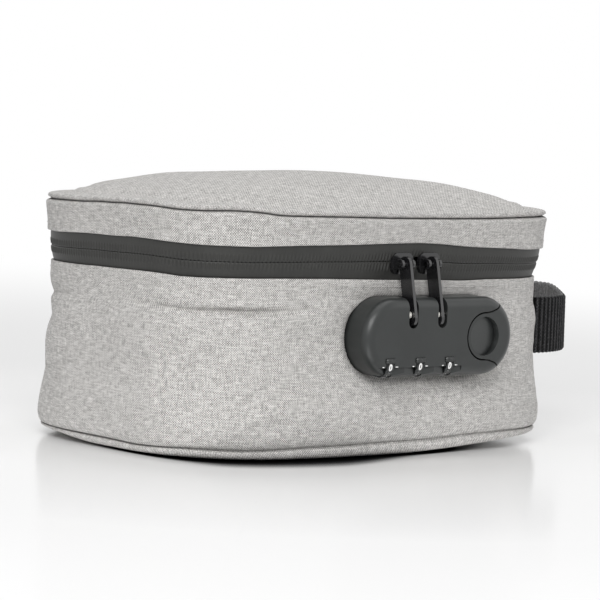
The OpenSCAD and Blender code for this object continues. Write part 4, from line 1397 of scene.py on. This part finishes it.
def floor_material():
    """Pale sheet with a painted contact shadow, and a faint reflection near the object that runs out into
    white.
    """
    mat, tree, shader = new_material("pale_floor")
    tree.nodes.remove(shader)
    place = object_place(tree)
    painted_shadow = contact_shade(tree, place)
    tone = ramp(tree, noise(tree, place, 3.0), FLOOR_TONES)
    shaded = vector_calc(tree, "MULTIPLY", tone, painted_shadow)["Vector"]
    matt = add(tree, "ShaderNodeBsdfDiffuse", {"Color": shaded})
    gloss = add(tree, "ShaderNodeBsdfGlossy", {"Color": WHITE, "Roughness": GLOSS_ROUGH})
    white = add(tree, "ShaderNodeEmission", {"Color": WHITE, "Strength": seen_share(tree)})
    far = vector_calc(tree, "LENGTH", place)["Value"]
    shine = ranged(tree, far, *GLOSS)
    # The painted shadow also dims the reflection
    sheet = mixed(tree, calc(tree, "MULTIPLY", shine, painted_shadow), matt, gloss)
    fade = ranged(tree, far, *FLOOR_FADE, way="SMOOTHSTEP")
    surface = mixed(tree, fade, sheet, white).outputs[0]
    wire(tree, tree.nodes["Material Output"], {"Surface": surface})
    return mat


def stage():
    corners = [(x * FLOOR_HALF, y * FLOOR_HALF, 0) for x, y in ((-1, -1), (1, -1), (1, 1), (-1, 1))]
    new_object("floor", corners, [(0, 1, 2, 3)], floor_material())
    world = bpy.data.worlds.new("studio")
    bpy.context.scene.world = world
    world.use_nodes = True
    tree = world.node_tree
    tree.nodes.clear()
    dim = add(tree, "ShaderNodeBackground", {"Color": WHITE, "Strength": AMBIENT})
    bright = add(tree, "ShaderNodeBackground", {"Color": WHITE, "Strength": 1.0})
    add(tree, "ShaderNodeOutputWorld", {0: mixed(tree, seen_share(tree), dim, bright).outputs[0]})


def softbox(name, place, aim, size, watts):
    light = bpy.data.lights.new(name, "AREA")
    light.shape = "RECTANGLE"
    light.size, light.size_y = size
    light.energy = watts
    obj = linked(name, light)
    obj.location = place
    obj.rotation_euler = (Vector(aim) - Vector(place)).to_track_quat("-Z", "Y").to_euler()


def camera():
    level = math.cos(CAMERA_PITCH)
    view = Vector((math.sin(CAMERA_YAW) * level, math.cos(CAMERA_YAW) * level, -math.sin(CAMERA_PITCH)))
    right = Vector((math.cos(CAMERA_YAW), -math.sin(CAMERA_YAW), 0))
    up = right.cross(view)
    c, s = math.cos(CAMERA_ROLL), math.sin(CAMERA_ROLL)
    axes = (c * right + s * up, c * up - s * right, -view)
    data = bpy.data.cameras.new("camera")
    data.lens = CAMERA_LENS
    data.sensor_width = CAMERA_SENSOR
    data.shift_x, data.shift_y = CAMERA_SHIFT
    data.clip_start, data.clip_end = CAMERA_CLIP
    obj = linked("camera", data)
    turn = Matrix(axes).transposed().to_4x4()
    obj.matrix_world = Matrix.Translation(CAMERA_AIM - view * CAMERA_DISTANCE) @ turn
    bpy.context.scene.camera = obj


bpy.context.scene.view_settings.view_transform = "Standard"
camera()
stage()
for light_name, settings in SOFTBOXES.items():
    softbox(light_name, *settings)

lower_wall()
bottom_panel()
lid_side()
lid_top()
hem_stitches()
zip_half("zip_tape_low", -1, "base", "zip_tape_lower")
zip_half("zip_tape_high", 1, "lid", "zip_tape_upper")
zip_coil("zip_coil_low", -1, "base", "zip_coil_lower")
zip_coil("zip_coil_high", 1, "lid", "zip_coil_upper")
hinge_cloth()
linings()
handle()
keeper_ends()
return_coil()
dial_figures()
dial_marks()
